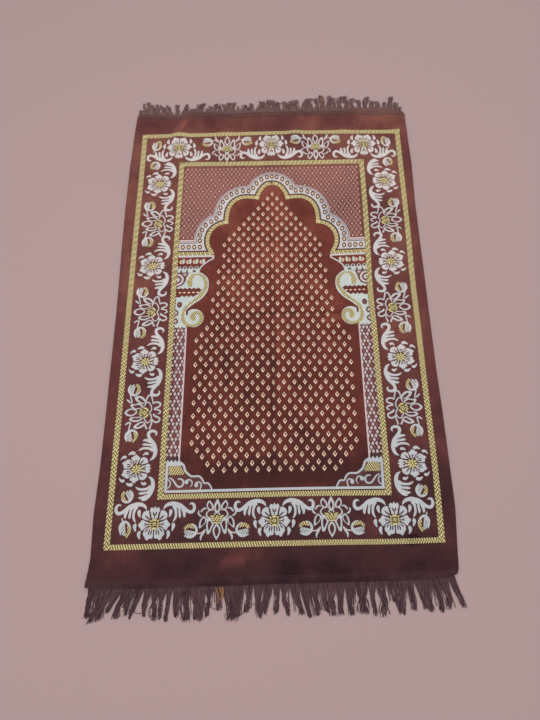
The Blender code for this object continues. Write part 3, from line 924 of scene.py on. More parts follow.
def foot_corner():
    """A stepped corner piece: a hatched block over a panel with one scroll and two commas."""
    left = PANEL_LEFT
    low, high = NICHE_FOOT
    panel = [(x, y) for x, y, width in CORNER_EDGE]
    block = [(-214, -346.5), (-190, -346.5), (-187, -351), (-183.5, -357), (-181.5, -364.5), (-214, -364.5)]
    shapes = inked(RUSSET, [(left, -340)] + panel + [(left, -395)]) + inked(HATCHED, block)
    shapes += inked(WHITE, box(left, -346.4, -189, -338), box(left, low, -215, -338), ribbon(CORNER_EDGE, 4),
                    *[lozenge(x, -337.5, 3.2, 4.6) for x in (-217, -209.5, -201.5, -194)])
    scroll = [(-212.5, -370, 2), (-206, -373, 3.2), (-201, -379, 3.6), (-196, -386, 3.8), (-190, -388.4, 3.8),
              (-184.6, -386, 3.8), (-183, -379, 3.8), (-186.5, -373.4, 3.6), (-194.5, -372.6, 3)]
    shapes += inked(WHITE, line_of([(-215, -373), (-209.6, -378), (-209.6, -386), (-215, -391)], 2.6),
                    ribbon(scroll, 4), ellipse(-176.8, -379, 4.2, 4.6), ellipse(-156.8, -385, 3.8, 5.2))
    shapes += bands(WHITE, [(-177, -376.4, 3.4), (-171, -374.4, 3.2), (-166, -378, 2.8), (-165.4, -384, 2.2),
                            (-168.6, -389.5, 1.2)],
                    [(-156, -381, 3.2), (-151.6, -379.6, 3), (-147.6, -382.6, 3), (-146.8, -388, 2.8),
                     (-149.4, -395, 2.4)])
    return both_halves(shapes + inked(WHITE, box(left, low, 1, high)))


# the niche's field of small diamonds
FIELD_STEP = 11.35              # from one column to the next
FIELD_ROW = 28.7                # from one diamond to the next in a column
FIELD_TOPS = (316.0, 303.0)     # where the even columns and the odd ones start
FIELD_COLUMNS, FIELD_ROWS = 15, 24           # columns to each side of the middle one
DIAMOND_HEIGHT = 6.8            # half of it
DIAMOND_WIDTH, MIDDLE_WIDTH = 4.6, 3.7       # half of each, and the middle column is narrower
FIELD_EDGE = (  # y, how far out the diamonds reach there
    (-360, 120), (-357, 128), (-344, 139), (-329, 150), (-316, 161), (-300, 171), (-64, 171), (-58, 160),
    (-46, 160), (-42, 150), (-14, 149), (-12, 139), (31, 138), (38, 127), (104, 126), (108, 115),
    (171, 115), (188, 104), (201, 92), (217, 81), (229, 69), (246, 58), (258, 46), (274, 35), (287, 24),
    (303, 12), (318, 1),
)


def diamond(x, y, half_width):
    """A pale rhomb with rounded shoulders and a dark eye."""
    tall, shoulder = DIAMOND_HEIGHT, half_width * 0.58
    half = [(0, tall), (-shoulder, tall * 0.4), (-half_width, 0), (-shoulder, -tall * 0.42), (0, -tall)]
    ring = [(x + off_x, y + off_y) for off_x, off_y in mirrored(half)]
    return inked(CREAM, ring) + inked(BROWN, lozenge(x + 0.4, y + 0.9, half_width * 0.44, 2.9))


def field():
    shapes = []
    for column in range(-FIELD_COLUMNS, FIELD_COLUMNS + 1):
        x = column * FIELD_STEP
        for row in range(FIELD_ROWS):
            y = FIELD_TOPS[column % 2] - row * FIELD_ROW
            if y > FIELD_EDGE[0][0] and abs(x) <= read(FIELD_EDGE, 1, y):
                shapes += diamond(x, y, DIAMOND_WIDTH if column else MIDDLE_WIDTH)
    return shapes


# how the real weave strays from the drawing: x, y, half width, half height, how far in x and in y
STRAYS = (
    (50, 472, 240, 52, 0.0, 6.8),
    (-230, 400, 120, 160, 2.0, 1.8),
    (15, 290, 190, 100, 1.8, -1.8),
    (110, 180, 110, 150, 0.0, -4.2),
    (290, 280, 70, 110, 0.3, -2.8),
    (-190, -120, 170, 280, 1.4, -1.1),
    (250, -200, 140, 260, 0.0, -3.6),
    (230, 60, 130, 90, -2.6, -1.0),
    (280, -360, 140, 160, 3.4, 0.0),
    (240, -460, 110, 60, 0.0, -1.8),
    (0, -300, 130, 150, 1.9, 0.0),
    (-30, 60, 110, 160, 0.8, -1.2),
)
STRAY_CELL = 24.0               # longer edges are divided, so that they can bend
FADE = 1.2                      # how fast a soft patch fades out; at its half width it is down to 0.3


def strayed(outline):
    """An outline moved along with the weave."""
    moved = []
    for start, end in zip(outline, outline[1:] + outline[:1]):
        parts = math.ceil(math.dist(start, end) / STRAY_CELL) or 1
        for step in range(parts):
            x, y = (mix(start[axis], end[axis], step / parts) for axis in (0, 1))
            off_x = off_y = 0.0
            for at_x, at_y, half_width, half_height, move_x, move_y in STRAYS:
                near = math.exp(-FADE * (((x - at_x) / half_width) ** 2 + ((y - at_y) / half_height) ** 2))
                off_x += move_x * near
                off_y += move_y * near
            moved.append((x + off_x, y + off_y))
    return moved


def design():
    """Everything woven into the pile, in the order in which it is laid down."""
    shapes = gold_frame(*OUTER) + gold_frame(*INNER)
    shapes += trellis() + arch() + column() + corbel() + foot_corner() + field()
    for at, up in LOTUSES:
        shapes += both_halves(placed(lotus(), at, up))
    for at in SIDE_LOTUSES:
        shapes += both_halves(placed(side_lotus(), at))
    for at, up_curled, down_curled in SIDE_FLOWERS:
        shapes += both_halves(placed(side_flower(up_curled, down_curled), at))
    for at, up in FLOWERS:
        shapes += both_halves(placed(flower(), at, up))
    for at, up in MIDDLE_FLOWERS:
        shapes += placed(flower(), at, up)
    for at, up, length, width, gold_right in CORNER_BUDS:
        corner_bud = bud(length, width)
        shapes += both_halves(placed(flipped(corner_bud) if gold_right else corner_bud, at, up))
    for side in (1, -1):
        start, end = ((x, side * y) for x, y in CORNER_STEM)
        shapes += both_halves(inked(WHITE, slit(start, end, 3.0)))
    return [(yarn, strayed(outline)) for yarn, outline in threaded(shapes)]


# ---- weaving ---------------------------------------------------------------------------------------
CELL = 10.0                     # distance between the cloth's own points
FOLD_CELL = 6.0                 # and on its folds
JOIN = 0.03                     # points nearer than this become one
SKIRT = 0.25                    # how far a yarn's walls reach into the ground
CREASED = math.radians(35)      # edges sharper than this stay sharp
NET_REACH = 360                 # half the width of the net that is cut to the cloth
NET_MARGIN, GROUND_MARGIN = 18.0, 5.0        # how far its own points keep from the cloth's ends
HEM_REACH, HEM_OVER = 364, 24   # half the width of a hem's outline, and its depth


def spaced(start, end, size):
    """Evenly spaced values from start to end, about a size apart."""
    count = max(1, round(abs(end - start) / size))
    return [mix(start, end, step / count) for step in range(count + 1)]


def cloth_outline(inset=0.0):
    """The cloth's edge, or a line inside it, anticlockwise from its foot's left corner."""
    def side(column, y):
        return edge_at(SIDES, column, y, inset)

    foot = [(x, edge_at(ENDS, 1, x, inset)) for x in spaced(side(1, FOOT_Y), side(2, FOOT_Y), CELL)]
    head = [(x, edge_at(ENDS, 2, x, inset)) for x in spaced(side(2, HEAD_Y), side(1, HEAD_Y), CELL)]
    up = [(side(2, y), y) for y in spaced(foot[-1][1], head[0][1], CELL)]
    down = [(side(1, y), y) for y in spaced(head[-1][1], foot[0][1], CELL)]
    return foot + up[1:-1] + head + down[1:-1]


def end_rows():
    """Lines across the cloth where the hem, its groove and the velvet meet."""
    rows = []
    for inset, height in HEM_STEPS:
        for column, y in ((1, FOOT_Y + inset), (2, HEAD_Y - inset)):
            left, right = (edge_at(SIDES, side, y, EDGE_ROUND) for side in (1, 2))
            rows.append([(x, edge_at(ENDS, column, x, inset)) for x in spaced(left, right, FOLD_CELL)])
    return rows


def hems():
    """Both turned ends, drawn past the cloth's edge; they wear the darker pile."""
    found = []
    for column, over in ((1, -HEM_OVER), (2, HEM_OVER)):
        inner = [(x, edge_at(ENDS, column, x, HEM_DEPTH)) for x in spaced(-HEM_REACH, HEM_REACH, FOLD_CELL)]
        found.append(inner + [(HEM_REACH, inner[-1][1] + over), (-HEM_REACH, inner[0][1] + over)])
    return found


def inner_points(margin):
    """The cloth's own points: a plain net, and a closer one over the folds."""
    points = []
    for size, folded in ((CELL, False), (FOLD_CELL, True)):
        for y in spaced(FOOT_Y + margin, HEAD_Y - margin, size):
            for x in spaced(-NET_REACH, NET_REACH, size):
                if (lift(x, y) > 0.0) is folded and side_inset(x, y) > size / 2 and end_inset(x, y) > margin:
                    points.append((x, y))
    return points


def triangulate(outlines, rows, points):
    """One net of triangles with every outline and row among its edges, and each triangle's middle."""
    places = []
    edges = []
    for line, closed in [(outline, True) for outline in outlines] + [(row, False) for row in rows]:
        first = len(places)
        places += line
        edges += [(index, index + 1) for index in range(first, len(places) - 1)]
        if closed:
            edges.append((len(places) - 1, first))
    found = delaunay_2d_cdt([Vector(place) for place in places + points], edges, [], 0, JOIN, False)
    places = np.array([tuple(place) for place in found[0]])
    triangles = np.array([face[:3] for face in found[2]])
    return places, triangles, places[triangles].mean(axis=1)


def inside(outline, places):
    """Which places an outline winds round."""
    corners = np.array(outline)
    ahead = np.roll(corners, -1, axis=0)
    x, y = places[:, :1], places[:, 1:]
    run = ahead - corners
    turn = run[:, 0] * (y - corners[:, 1]) - run[:, 1] * (x - corners[:, 0])
    rising = (corners[:, 1] <= y) & (ahead[:, 1] > y) & (turn > 0)
    falling = (corners[:, 1] > y) & (ahead[:, 1] <= y) & (turn < 0)
    return rising.sum(axis=1) != falling.sum(axis=1)


def top_yarns(shapes, middles):
    """The yarn that lies uppermost at each place, and -1 off the cloth."""
    order = np.argsort(middles[:, 1])
    ordered = middles[order]
    found = np.full(len(middles), -1)
    for yarn, outline in shapes:
        (left, low), (right, high) = np.min(outline, axis=0), np.max(outline, axis=0)
        first, last = np.searchsorted(ordered[:, 1], (low, high))
        row = ordered[first:last]
        near = first + np.flatnonzero((row[:, 0] > left) & (row[:, 0] < right))
        if len(near):
            found[near[inside(outline, ordered[near])]] = yarn
    yarns = np.empty_like(found)
    yarns[order] = found
    return yarns


def net_mesh(name, top, low, triangles, closed=False):
    """A surface of triangles with walls round every edge, and its underside too if it is closed."""
    used, corners = np.unique(triangles, return_inverse=True)
    corners = corners.reshape(-1, 3)
    count = len(used)
    starts = corners.ravel()
    ends = np.roll(corners, -1, axis=1).ravel()
    forward = starts * count + ends
    border = ~np.isin(forward, ends * count + starts)
    walls = np.column_stack((starts, starts + count, ends + count, ends))[border]
    vertices = np.vstack((top[used], low[used]))
    faces = corners.tolist() + walls.tolist()
    if closed:
        faces += (corners[:, ::-1] + count).tolist()
    else:
        rim = np.unique(np.concatenate((starts[border], ends[border])))
        keep = np.concatenate((np.arange(count), rim + count))
        renumber = np.zeros(2 * count, int)
        renumber[keep] = np.arange(len(keep))
        vertices = vertices[keep]
        faces = [[int(renumber[corner]) for corner in face] for face in faces]
    mesh = bpy.data.meshes.new(name)
    mesh.from_pydata(vertices.tolist(), [], faces)
    mesh.shade_smooth()
    mesh.set_sharp_from_angle(angle=CREASED)
    add_plan_map(mesh)
    return put(name, mesh)


def stored(items, name, kind=float, size=1):
    """One value, or row of values, for each of a mesh's items."""
    values = np.zeros(len(items) * size, kind)
    items.foreach_get(name, values)
    return values.reshape(-1, size) if size > 1 else values


WALL_LEAN = 0.6 * MM


def add_plan_map(mesh):
    """Lays the piece's own texture flat over its plan; walls lean outward there, so each has room."""
    plan = stored(mesh.vertices, "co", size=3)[stored(mesh.loops, "vertex_index", int)][:, :2]
    walls = stored(mesh.polygons, "loop_start", int)[stored(mesh.polygons, "loop_total", int) == 4]
    run = plan[walls + 3] - plan[walls]
    out = np.column_stack((run[:, 1], -run[:, 0])) / np.maximum(np.linalg.norm(run, axis=1), 1e-9)[:, None]
    for low_corner in (1, 2):
        plan[walls + low_corner] += out * WALL_LEAN
    for axis, (low, high) in enumerate(zip(*CAD_BOX)):
        if axis < 2:
            plan[:, axis] = (plan[:, axis] - low) / (high - low)
    mesh.uv_layers.new(name="OFBake").data.foreach_set("uv", plan.ravel())


NAP = (  # x, y, half width, half height, turn in degrees, how much lighter (or darker) the pile lies there
    (0, 560, 420, 60, 0, -0.26),
    (0, 200, 200, 190, 0, 0.10),
    (0, -560, 420, 75, 0, -0.28),
    (0, -572, 420, 9, 0, -0.20),
    (0, 568, 420, 9, 0, -0.12),
    (-300, 320, 90, 150, 0, 0.10),
    (-272, -430, 34, 40, 0, 0.34),
    (-262, -80, 40, 60, 0, 0.22),
    (-340, 120, 22, 110, 0, 0.28),
    (-285, 70, 50, 60, 0, 0.22),
    (70, 480, 40, 30, 0, -0.45),
    (290, -80, 60, 60, 0, 0.26),
    (290, 150, 50, 60, 0, 0.24),
    (280, 340, 40, 50, 0, 0.24),
    (160, 275, 60, 54, 0, -0.54),           # the trellis is shadowed at the right
    (202, -366, 26, 34, 0, -0.6),
    (-229, 529, 30, 6, 52, 0.45),           # the ridges at the head catch the light
    (-204, 545, 34, 14, 50, -0.30),
    (-150, 540, 34, 26, -50, -0.35),
    (30, 528, 34, 34, 0, -0.35),
    (190, 545, 30, 30, 40, -0.30),
    (110, 545, 40, 20, 60, 0.20),
    (-305, 542, 60, 32, 0, -0.46),
    (280, 545, 46, 20, 0, 0.20),
    (-60, 250, 40, 36, 30, -0.20),          # the niche's shadowed shoulders
    (-122, 190, 26, 36, 0, -0.28),
    (60, 270, 34, 26, -30, -0.25),
    (118, 205, 30, 30, 0, -0.10),
    (0, 322, 26, 22, 0, 0.10),
    (-110, -120, 70, 34, 20, -0.14),
    (-100, -280, 80, 50, 0, 0.12),
    (30, -40, 180, 12, -4, -0.18),
    (20, -10, 170, 5, 0, -0.34),            # the crosswise folding crease
    (20, 6, 170, 9, 0, 0.10),
    (-102, -150, 9, 46, 0, -0.26),
    (0, -140, 7, 260, 0, -0.28),            # the lengthwise folding crease
    (16, -140, 12, 250, 0, 0.16),
    (100, 30, 60, 50, 20, 0.14),
    (-40, 110, 50, 60, 0, 0.10),
    (10, -366, 150, 30, 0, -0.40),
    (270, 250, 40, 60, 0, -0.20),
    (-305, -285, 55, 70, 0, 0.22),
    (338, -370, 30, 60, 0, -0.28),
    (335, -60, 24, 60, 0, 0.20),
    (345, 420, 24, 90, 0, -0.35),
    (0, 402, 30, 26, 0, -0.30),
    (-80, -530, 52, 15, 18, 0.42),          # soft waves along the foot
    (-262, -545, 30, 20, 40, 0.14),
    (-330, -540, 18, 24, 40, 0.06),
    (-200, -545, 36, 26, 0, -0.20),
    (60, -540, 60, 26, 0, -0.22),
    (240, -535, 50, 16, 20, 0.22),
    (290, -545, 120, 40, 0, -0.26),
    (270, -501, 15, 8, 0, -1.2),            # a shadow over the gold
)


NAP_SLOPE = 0.0007              # it lies lighter towards the head, by this much a millimetre


def nap(places):
    """How light the pile lies at each x, y, from about -1 to 1."""
    value = NAP_SLOPE * places[:, 1]
    for x, y, half_width, half_height, turn, amount in NAP:
        turned = math.radians(turn)
        off_x, off_y = places[:, 0] - x, places[:, 1] - y
        along = (off_x * math.cos(turned) + off_y * math.sin(turned)) / half_width
        across = (off_y * math.cos(turned) - off_x * math.sin(turned)) / half_height
        value += amount * np.exp(-FADE * (along ** 2 + across ** 2))
    return value


def add_nap(mesh):
    """Stores the nap on a mesh's points, and whether they lie within the inner frame, for its material."""
    flat = stored(mesh.vertices, "co", size=3)[:, :2] / MM - np.array(PLACE)
    within = (abs(flat[:, 0]) < INNER[0] - SIDE_BAND / 2) & (abs(flat[:, 1]) < INNER[1] - HEAD_BAND / 2)
    for name, values in (("nap", nap(flat)), ("field", within.astype(float))):
        mesh.attributes.new(name, "FLOAT", "POINT").data.foreach_set("value", values)


def weave():
    """Cuts the cloth along the whole design; returns one piece for each yarn."""
    edge = cloth_outline()
    shapes = inked(PILE, edge) + inked(BROWN, *hems()) + design()
    lines = [edge, cloth_outline(EDGE_ROUND)] + [outline for yarn, outline in shapes]
    places, triangles, middles = triangulate(lines, end_rows(), inner_points(NET_MARGIN))
    yarn_of = np.where(inside(edge, middles), top_yarns(shapes, middles), -1)
    under = np.array([lift(x, y) for x, y in places])
    low = scene_points(places, under + GROUND - SKIRT)
    flat = scene_points(places, under + FLAT_YARN)
    pile = scene_points(places, under + [pile_height(x, y) for x, y in places])
    pieces = []
    for yarn, name in YARN_PIECES.items():
        top = pile if yarn in PILE_YARNS else flat
        pieces.append(net_mesh(name, top, low, triangles[yarn_of == yarn]))
        add_nap(pieces[-1].data)
    return pieces


def ground_sheet():
    """The woven ground under all the yarns: one thin closed sheet that follows the folds."""
    edge = cloth_outline()
    places, triangles, middles = triangulate([edge], [], inner_points(GROUND_MARGIN))
    under = np.array([lift(x, y) for x, y in places])
    return net_mesh("ground_weave", scene_points(places, under + GROUND), scene_points(places, under),
                    triangles[inside(edge, middles)], closed=True)


YARN_PIECES = {
    PILE: "velvet_pile",
    RUSSET: "russet_pile",
    BROWN: "brown_pile",
    WHITE: "white_figures",
    PEARL: "pearl_figures",
    BLUSH: "blush_lines",
    ROSE: "rose_trellis",
    GOLD: "gold_strokes",
    OLIVE: "olive_weft",
    CREAM: "cream_accents",
    CORAL: "coral_lozenges",
}
PILE_YARNS = (PILE, RUSSET, BROWN)


# ---- fringes and stitches --------------------------------------------------------------------------
STRAND = 0.66                   # radius of a strand at its root
TIP = 0.32                      # and at its frayed tip
FRAY_START, FRAY_LENGTH = 0.8, 0.2           # where it thins to that, as shares of the way to the lock's tip
STRANDS_PER_MM = 1.7
FEWEST = 6                      # strands in a narrow lock
FLOOR_PLAY = 0.1                # least gap between a strand and the floor
FRINGE_LEFT, FRINGE_RIGHT = -357.0, (351.0, 346.0)      # where they end; the right at the foot and the head
ROOT_HEIGHT, ROOT_SINK = 1.5, 0.8            # over the cloth's underside, and how far inside the hem
GATHERED, LANDED = 0.6, 0.55    # shares of its length by which a strand has joined its lock, and lies down
LOOSE_SHARE = 0.24              # of the strands, which hardly join their lock and are shorter
LOOSE_THICKNESS = 0.8           # of those that cross between locks
LOCK_MARGIN = 2.0               # added to a lock's width
LOCK_LOW, LOCK_RISE, LOCK_HIGH = 0.7, 0.10, 2.6         # how high it heaps: least, per mm of width, most
OUTER_SHORT = 0.06              # how much shorter its outermost strands are, as a share
STRAND_PARTS = 8                # pieces of each strand's path
# the ranges from which each lock or strand draws its own value
ROOT = (0.2, 0.8)               # where a strand starts, within its own share of the lock's root
TWIST = (0.3, 0.9)              # turns of a lock, to either side
PHASE = (-0.8, 0.8)             # where round its lock a strand starts, in radians
SPREAD = (0.5, 1.15)            # how wide it winds, as a share of its lock
HOLD, LOOSE_HOLD = (0.5, 1.0), (0.0, 0.5)    # how fully it joins the lock
LENGTH, LOOSE_LENGTH = (0.9, 1.0), (0.6, 0.95)
DRIFT = (-0.3, 0.3)             # how far its tip strays, in widths of the lock
THICKNESS = (0.7, 1.2)

LOOSE_STRANDS = (  # x, y, height: strands that cross between locks
    ((-268, -610, 2.2), (-262, -617, 2.6), (-252, -619, 2.2), (-244, -615, 2.4)),
    ((-136, -600, 2.4), (-128, -607, 2.8), (-116, -613, 2.4), (-104, -617, 2.0), (-99, -612, 2.2)),
    ((-133, -586, 2.6), (-126, -583, 3.0), (-120, -590, 3.2), (-124, -600, 2.6), (-130, -606, 2.0)),
    ((84, -616, 2.2), (90, -621, 2.6), (97, -619, 2.4), (101, -611, 2.2)),
    ((-70, -629, 1.6), (-58, -622, 2.2), (-46, -612, 2.6), (-38, -606, 2.0)),
    ((-12, -600, 2.4), (-20, -612, 2.8), (-19, -622, 2.2), (-14, -627, 1.6)),
    ((-312, -604, 2.4), (-322, -612, 2.8), (-330, -622, 2.2), (-334, -630, 1.6)),
)
GOLD_STRAND = 0.7               # radius at their root
GOLD_STRANDS = (
    ((-112, -577, 2.2), (-109, -584, 3.0), (-106, -592, 3.2), (-106, -601, 2.2), (-109, -606, 1.4)),
    ((-104, -577, 2.4), (-101, -585, 3.4), (-99, -594, 3.4), (-101, -601, 2.4)),
    ((-99, -577, 2.4), (-97, -584, 3.6), (-98, -592, 3.8), (-103, -598, 3.0)),
    ((134, 606, 2.4), (135, 615, 3.0), (134, 622, 2.4), (137, 629, 1.6)),
)


class Tubes:
    """Gathers many thin tubes into one mesh."""

    def __init__(self, sides):
        self.sides = sides
        self.places = []
        self.faces = []
        self.shades = []

    def add(self, path, shade=0.0):
        """One tube along x, y, z, radius rows, with both ends closed."""
        sides = self.sides
        first = len(self.places)
        points = [Vector(row[:3]) for row in path]
        for index, (point, row) in enumerate(zip(points, path)):
            run = (points[min(index + 1, len(points) - 1)] - points[max(index - 1, 0)]).normalized()
            across = run.cross(Vector((0, 0, 1))).normalized()
            up = across.cross(run)
            for side in range(sides):
                turn = 2 * math.pi * side / sides
                self.places.append(tuple(point + (across * math.cos(turn) + up * math.sin(turn)) * row[3]))
        last = len(self.places) - sides
        for base in range(first, last, sides):
            self.faces += [(base + side, base + (side + 1) % sides, base + sides + (side + 1) % sides,
                            base + sides + side) for side in range(sides)]
        self.faces += [tuple(reversed(range(first, first + sides))), tuple(range(last, last + sides))]
        self.shades += [shade] * (len(path) * sides)

    def piece(self, name):
        places = np.array(self.places)
        mesh = bpy.data.meshes.new(name)
        mesh.from_pydata(scene_points(places[:, :2], places[:, 2]).tolist(), [], self.faces)
        mesh.shade_smooth()
        mesh.attributes.new("shade", "FLOAT", "POINT").data.foreach_set("value", self.shades)
        return put(name, mesh)


def fringe(name, locks, seed, fullness):
    """One end's strands: they leave the hem side by side and draw together, some loosely, into locks."""
    draw = random.Random(seed)
    tubes = Tubes(4)
    column, outward = (2, 1.0) if locks[0][2] > 0 else (1, -1.0)
    roots = [lock[0] for lock in locks]
    middles = [(left + right) / 2 for left, right in zip(roots, roots[1:])]
    lefts = [max(roots[0] - locks[0][3] / 2, FRINGE_LEFT)] + middles
    rights = middles + [min(roots[-1] + locks[-1][3] / 2, FRINGE_RIGHT[column - 1])]
    for (root, tip_x, tip_y, width), left, right in zip(locks, lefts, rights):
        count = max(FEWEST, round((right - left) * STRANDS_PER_MM))
        twist = draw.uniform(*TWIST) * draw.choice((-1, 1))
        for index in range(count):
            across = (index + draw.uniform(*ROOT)) / count
            start_x = mix(left, right, across)
            phase = math.pi * (1.0 - across) + draw.uniform(*PHASE)
            spread = draw.uniform(*SPREAD) * (width * fullness + LOCK_MARGIN) / 2
            hold = draw.uniform(*HOLD)
            length = draw.uniform(*LENGTH) - OUTER_SHORT * (2 * across - 1) ** 2
            if draw.random() < LOOSE_SHARE:
                hold = draw.uniform(*LOOSE_HOLD)
                length = draw.uniform(*LOOSE_LENGTH)
            drift = draw.uniform(*DRIFT) * width
            radius = STRAND * draw.uniform(*THICKNESS)
            path = []
            for part in range(STRAND_PARTS + 1):
                along = part / STRAND_PARTS * length
                y = mix(read(ENDS, column, start_x) - outward * ROOT_SINK, tip_y, along)
                gathered = ease(along / GATHERED) * hold
                turn = phase + twist * 2 * math.pi * along
                loose = start_x + (tip_x - root) * along
                x = mix(loose, mix(root, tip_x, along) + math.cos(turn) * spread, gathered)
                x += drift * along ** 2
                thick = min(LOCK_HIGH, LOCK_LOW + width * LOCK_RISE) * (1.0 + math.sin(turn)) / 2
                rest = mix(lift(x, y) + ROOT_HEIGHT, FLOOR_PLAY, ease(along / LANDED)) + thick * gathered
                size = mix(radius, TIP, ease((along - FRAY_START) / FRAY_LENGTH))
                path.append((x, y, rest + size, size))
            tubes.add(path, draw.uniform(-1, 1))
    for line in LOOSE_STRANDS:
        if line[0][1] * outward > 0:
            tubes.add([(x, y, z, STRAND * LOOSE_THICKNESS) for x, y, z in smooth(line, 4, closed=False)])
    return tubes.piece(name)


def gold_strands():
    """A few strands of another yarn, caught in the fringes: each is two threads side by side."""
    tubes = Tubes(5)
    for line in GOLD_STRANDS:
        for offset in (-GOLD_STRAND, GOLD_STRAND):
            path = smooth([(x + offset, y, z) for x, y, z in line], 4, closed=False)
            tubes.add([(x, y, z, mix(GOLD_STRAND, TIP, step / len(path)))
                       for step, (x, y, z) in enumerate(path)], 0.5 * offset)
    return tubes.piece("gold_strands")


STITCH_LENGTH, STITCH_PITCH = 2.6, 3.6
STITCH_SINK = 0.45              # how far its ends dip into the cloth
SEAM_START = 3.0                # in from the cloth's sides
THREAD = 0.32                   # its radius
THREAD_REST = 0.9               # how far its middle lies over the groove, in radii


def hem_stitches():
    """The row of machine stitches that holds down each turned end."""
    tubes = Tubes(6)
    for column, y_mean in ((1, FOOT_Y), (2, HEAD_Y)):
        left, right = (edge_at(SIDES, side, y_mean, SEAM_START) for side in (1, 2))
        for middle in spaced(left, right, STITCH_PITCH):
            path = []
            for share in (-0.5, -0.25, 0.0, 0.25, 0.5):
                x = middle + STITCH_LENGTH * share
                y = edge_at(ENDS, column, x, HEM_DEPTH - GROOVE_WIDTH / 2)
                sink = (2 * share) ** 2 * STITCH_SINK
                path.append((x, y, lift(x, y) + STITCH + THREAD * THREAD_REST - sink, THREAD))
            tubes.add(path)
    return tubes.piece("hem_stitches")


# ---- finishes --------------------------------------------------------------------------------------
def linear(red, green, blue):
    """A colour as it looks, 0 to 255, in the linear light that shaders take."""
    return tuple((side / 255 / 12.92) if side <= 10 else ((side / 255 + 0.055) / 1.055) ** 2.4
                 for side in (red, green, blue)) + (1.0,)


def add_node(tree, kind, inputs=None, **settings):
    """A node with its settings; inputs are plain values, or sockets to link."""
    made = tree.nodes.new(kind)
    for name, value in settings.items():
        setattr(made, name, value)
    for name, value in (inputs or {}).items():
        if isinstance(value, bpy.types.NodeSocket):
            tree.links.new(value, made.inputs[name])
        else:
            made.inputs[name].default_value = value
    return made


def math_node(tree, operation, first, second=0.0):
    return add_node(tree, "ShaderNodeMath", {0: first, 1: second}, operation=operation).outputs[0]


def plus(tree, first, second):
    return math_node(tree, "ADD", first, second)


def times(tree, first, second):
    return math_node(tree, "MULTIPLY", first, second)


def blend_node(tree, kind, share, low, high):
    """Mixes two colours."""
    return add_node(tree, "ShaderNodeMix", {0: share, 6: low, 7: high}, data_type="RGBA",
                    blend_type=kind).outputs[2]


def noise_node(tree, where, scale, detail, roughness=0.5):
    """Noise that swings round 0."""
    made = add_node(tree, "ShaderNodeTexNoise", {
        "Vector": where, "Scale": scale, "Detail": detail, "Roughness": roughness})
    return math_node(tree, "SUBTRACT", made.outputs[0], 0.5)


def attribute_node(tree, name):
    """A value that is stored on the piece's points."""
    return add_node(tree, "ShaderNodeAttribute", attribute_name=name).outputs["Fac"]


def make_group(name, inputs, outputs):
    """An empty node group with its sockets; returns the tree, its inputs and its output node."""
    tree = bpy.data.node_groups.new(name, "ShaderNodeTree")
    for label, default in inputs:
        socket = tree.interface.new_socket(label, in_out="INPUT", socket_type="NodeSocketFloat")
        socket.default_value = default
    for label, kind in outputs:
        tree.interface.new_socket(label, in_out="OUTPUT", socket_type=kind)
    return tree, tree.nodes.new("NodeGroupInput"), tree.nodes.new("NodeGroupOutput")


def thread_grain_group():
    """Fine threads crossing at right angles, with slubs: a shade round 1 and a bump."""
    tree, given, out = make_group(
        "thread_grain",
        (("Threads per metre", 700.0), ("Contrast", 0.2), ("Depth", 0.25), ("Lengthwise", 0.5), ("Nap", 0.0)),
        (("Shade", "NodeSocketFloat"), ("Normal", "NodeSocketVector")))
    where = add_node(tree, "ShaderNodeTexCoord").outputs["Object"]
    axes = add_node(tree, "ShaderNodeSeparateXYZ", {0: where})
    turns = times(tree, given.outputs["Threads per metre"], 2 * math.pi)
    warp, weft = (math_node(tree, "SINE", times(tree, axes.outputs[axis], turns)) for axis in (0, 1))
    across = math_node(tree, "SUBTRACT", 1.0, given.outputs["Lengthwise"])
    ribs = plus(tree, times(tree, warp, given.outputs["Lengthwise"]), times(tree, weft, across))
    slubs = times(tree, noise_node(tree, where, scale=420.0, detail=3.0), 1.6)
    clouds = times(tree, noise_node(tree, where, scale=45.0, detail=2.0), 1.1)
    height = plus(tree, times(tree, ribs, 0.5), slubs)
    wave = times(tree, plus(tree, height, clouds), given.outputs["Contrast"])
    lean = times(tree, attribute_node(tree, "nap"), given.outputs["Nap"])
    tree.links.new(plus(tree, plus(tree, wave, lean), 1.0), out.inputs["Shade"])
    bump = add_node(tree, "ShaderNodeBump", {
        "Strength": 0.6, "Height": height, "Distance": times(tree, given.outputs["Depth"], MM)})
    tree.links.new(bump.outputs[0], out.inputs["Normal"])
    return tree


def nap_group():
    """Where the pile leans: from the hand-set patches, wide clouds, and short strokes along the rug."""
    tree, given, out = make_group(
        "pile_nap", (("Clouds", 0.5), ("Strokes", 0.4), ("Middle", 0.5)), (("Lightness", "NodeSocketFloat"),))
    where = add_node(tree, "ShaderNodeTexCoord").outputs["Object"]
    long_way = add_node(tree, "ShaderNodeMapping", {"Vector": where, "Scale": (420.0, 120.0, 420.0)})
    clouds = noise_node(tree, where, scale=11.0, detail=4.0, roughness=0.6)
    brushed = noise_node(tree, long_way.outputs[0], scale=1.0, detail=3.0)
    total = plus(tree, given.outputs["Middle"], times(tree, attribute_node(tree, "nap"), 0.5))
    for noise, amount in ((clouds, "Clouds"), (brushed, "Strokes")):
        total = plus(tree, total, times(tree, noise, given.outputs[amount]))
    tree.links.new(total, out.inputs["Lightness"])
    return tree


def start_material(name, roughness, sheen=0.0, sheen_tint=(1.0, 1.0, 1.0, 1.0), specular=0.2):
    material = bpy.data.materials.new(name)
    material.use_nodes = True
    shader = material.node_tree.nodes["Principled BSDF"]
    for socket, value in (("Roughness", roughness), ("Sheen Weight", sheen), ("Sheen Roughness", 0.45),
                          ("Sheen Tint", sheen_tint), ("Specular IOR Level", specular)):
        shader.inputs[socket].default_value = value
    return material, material.node_tree, shader


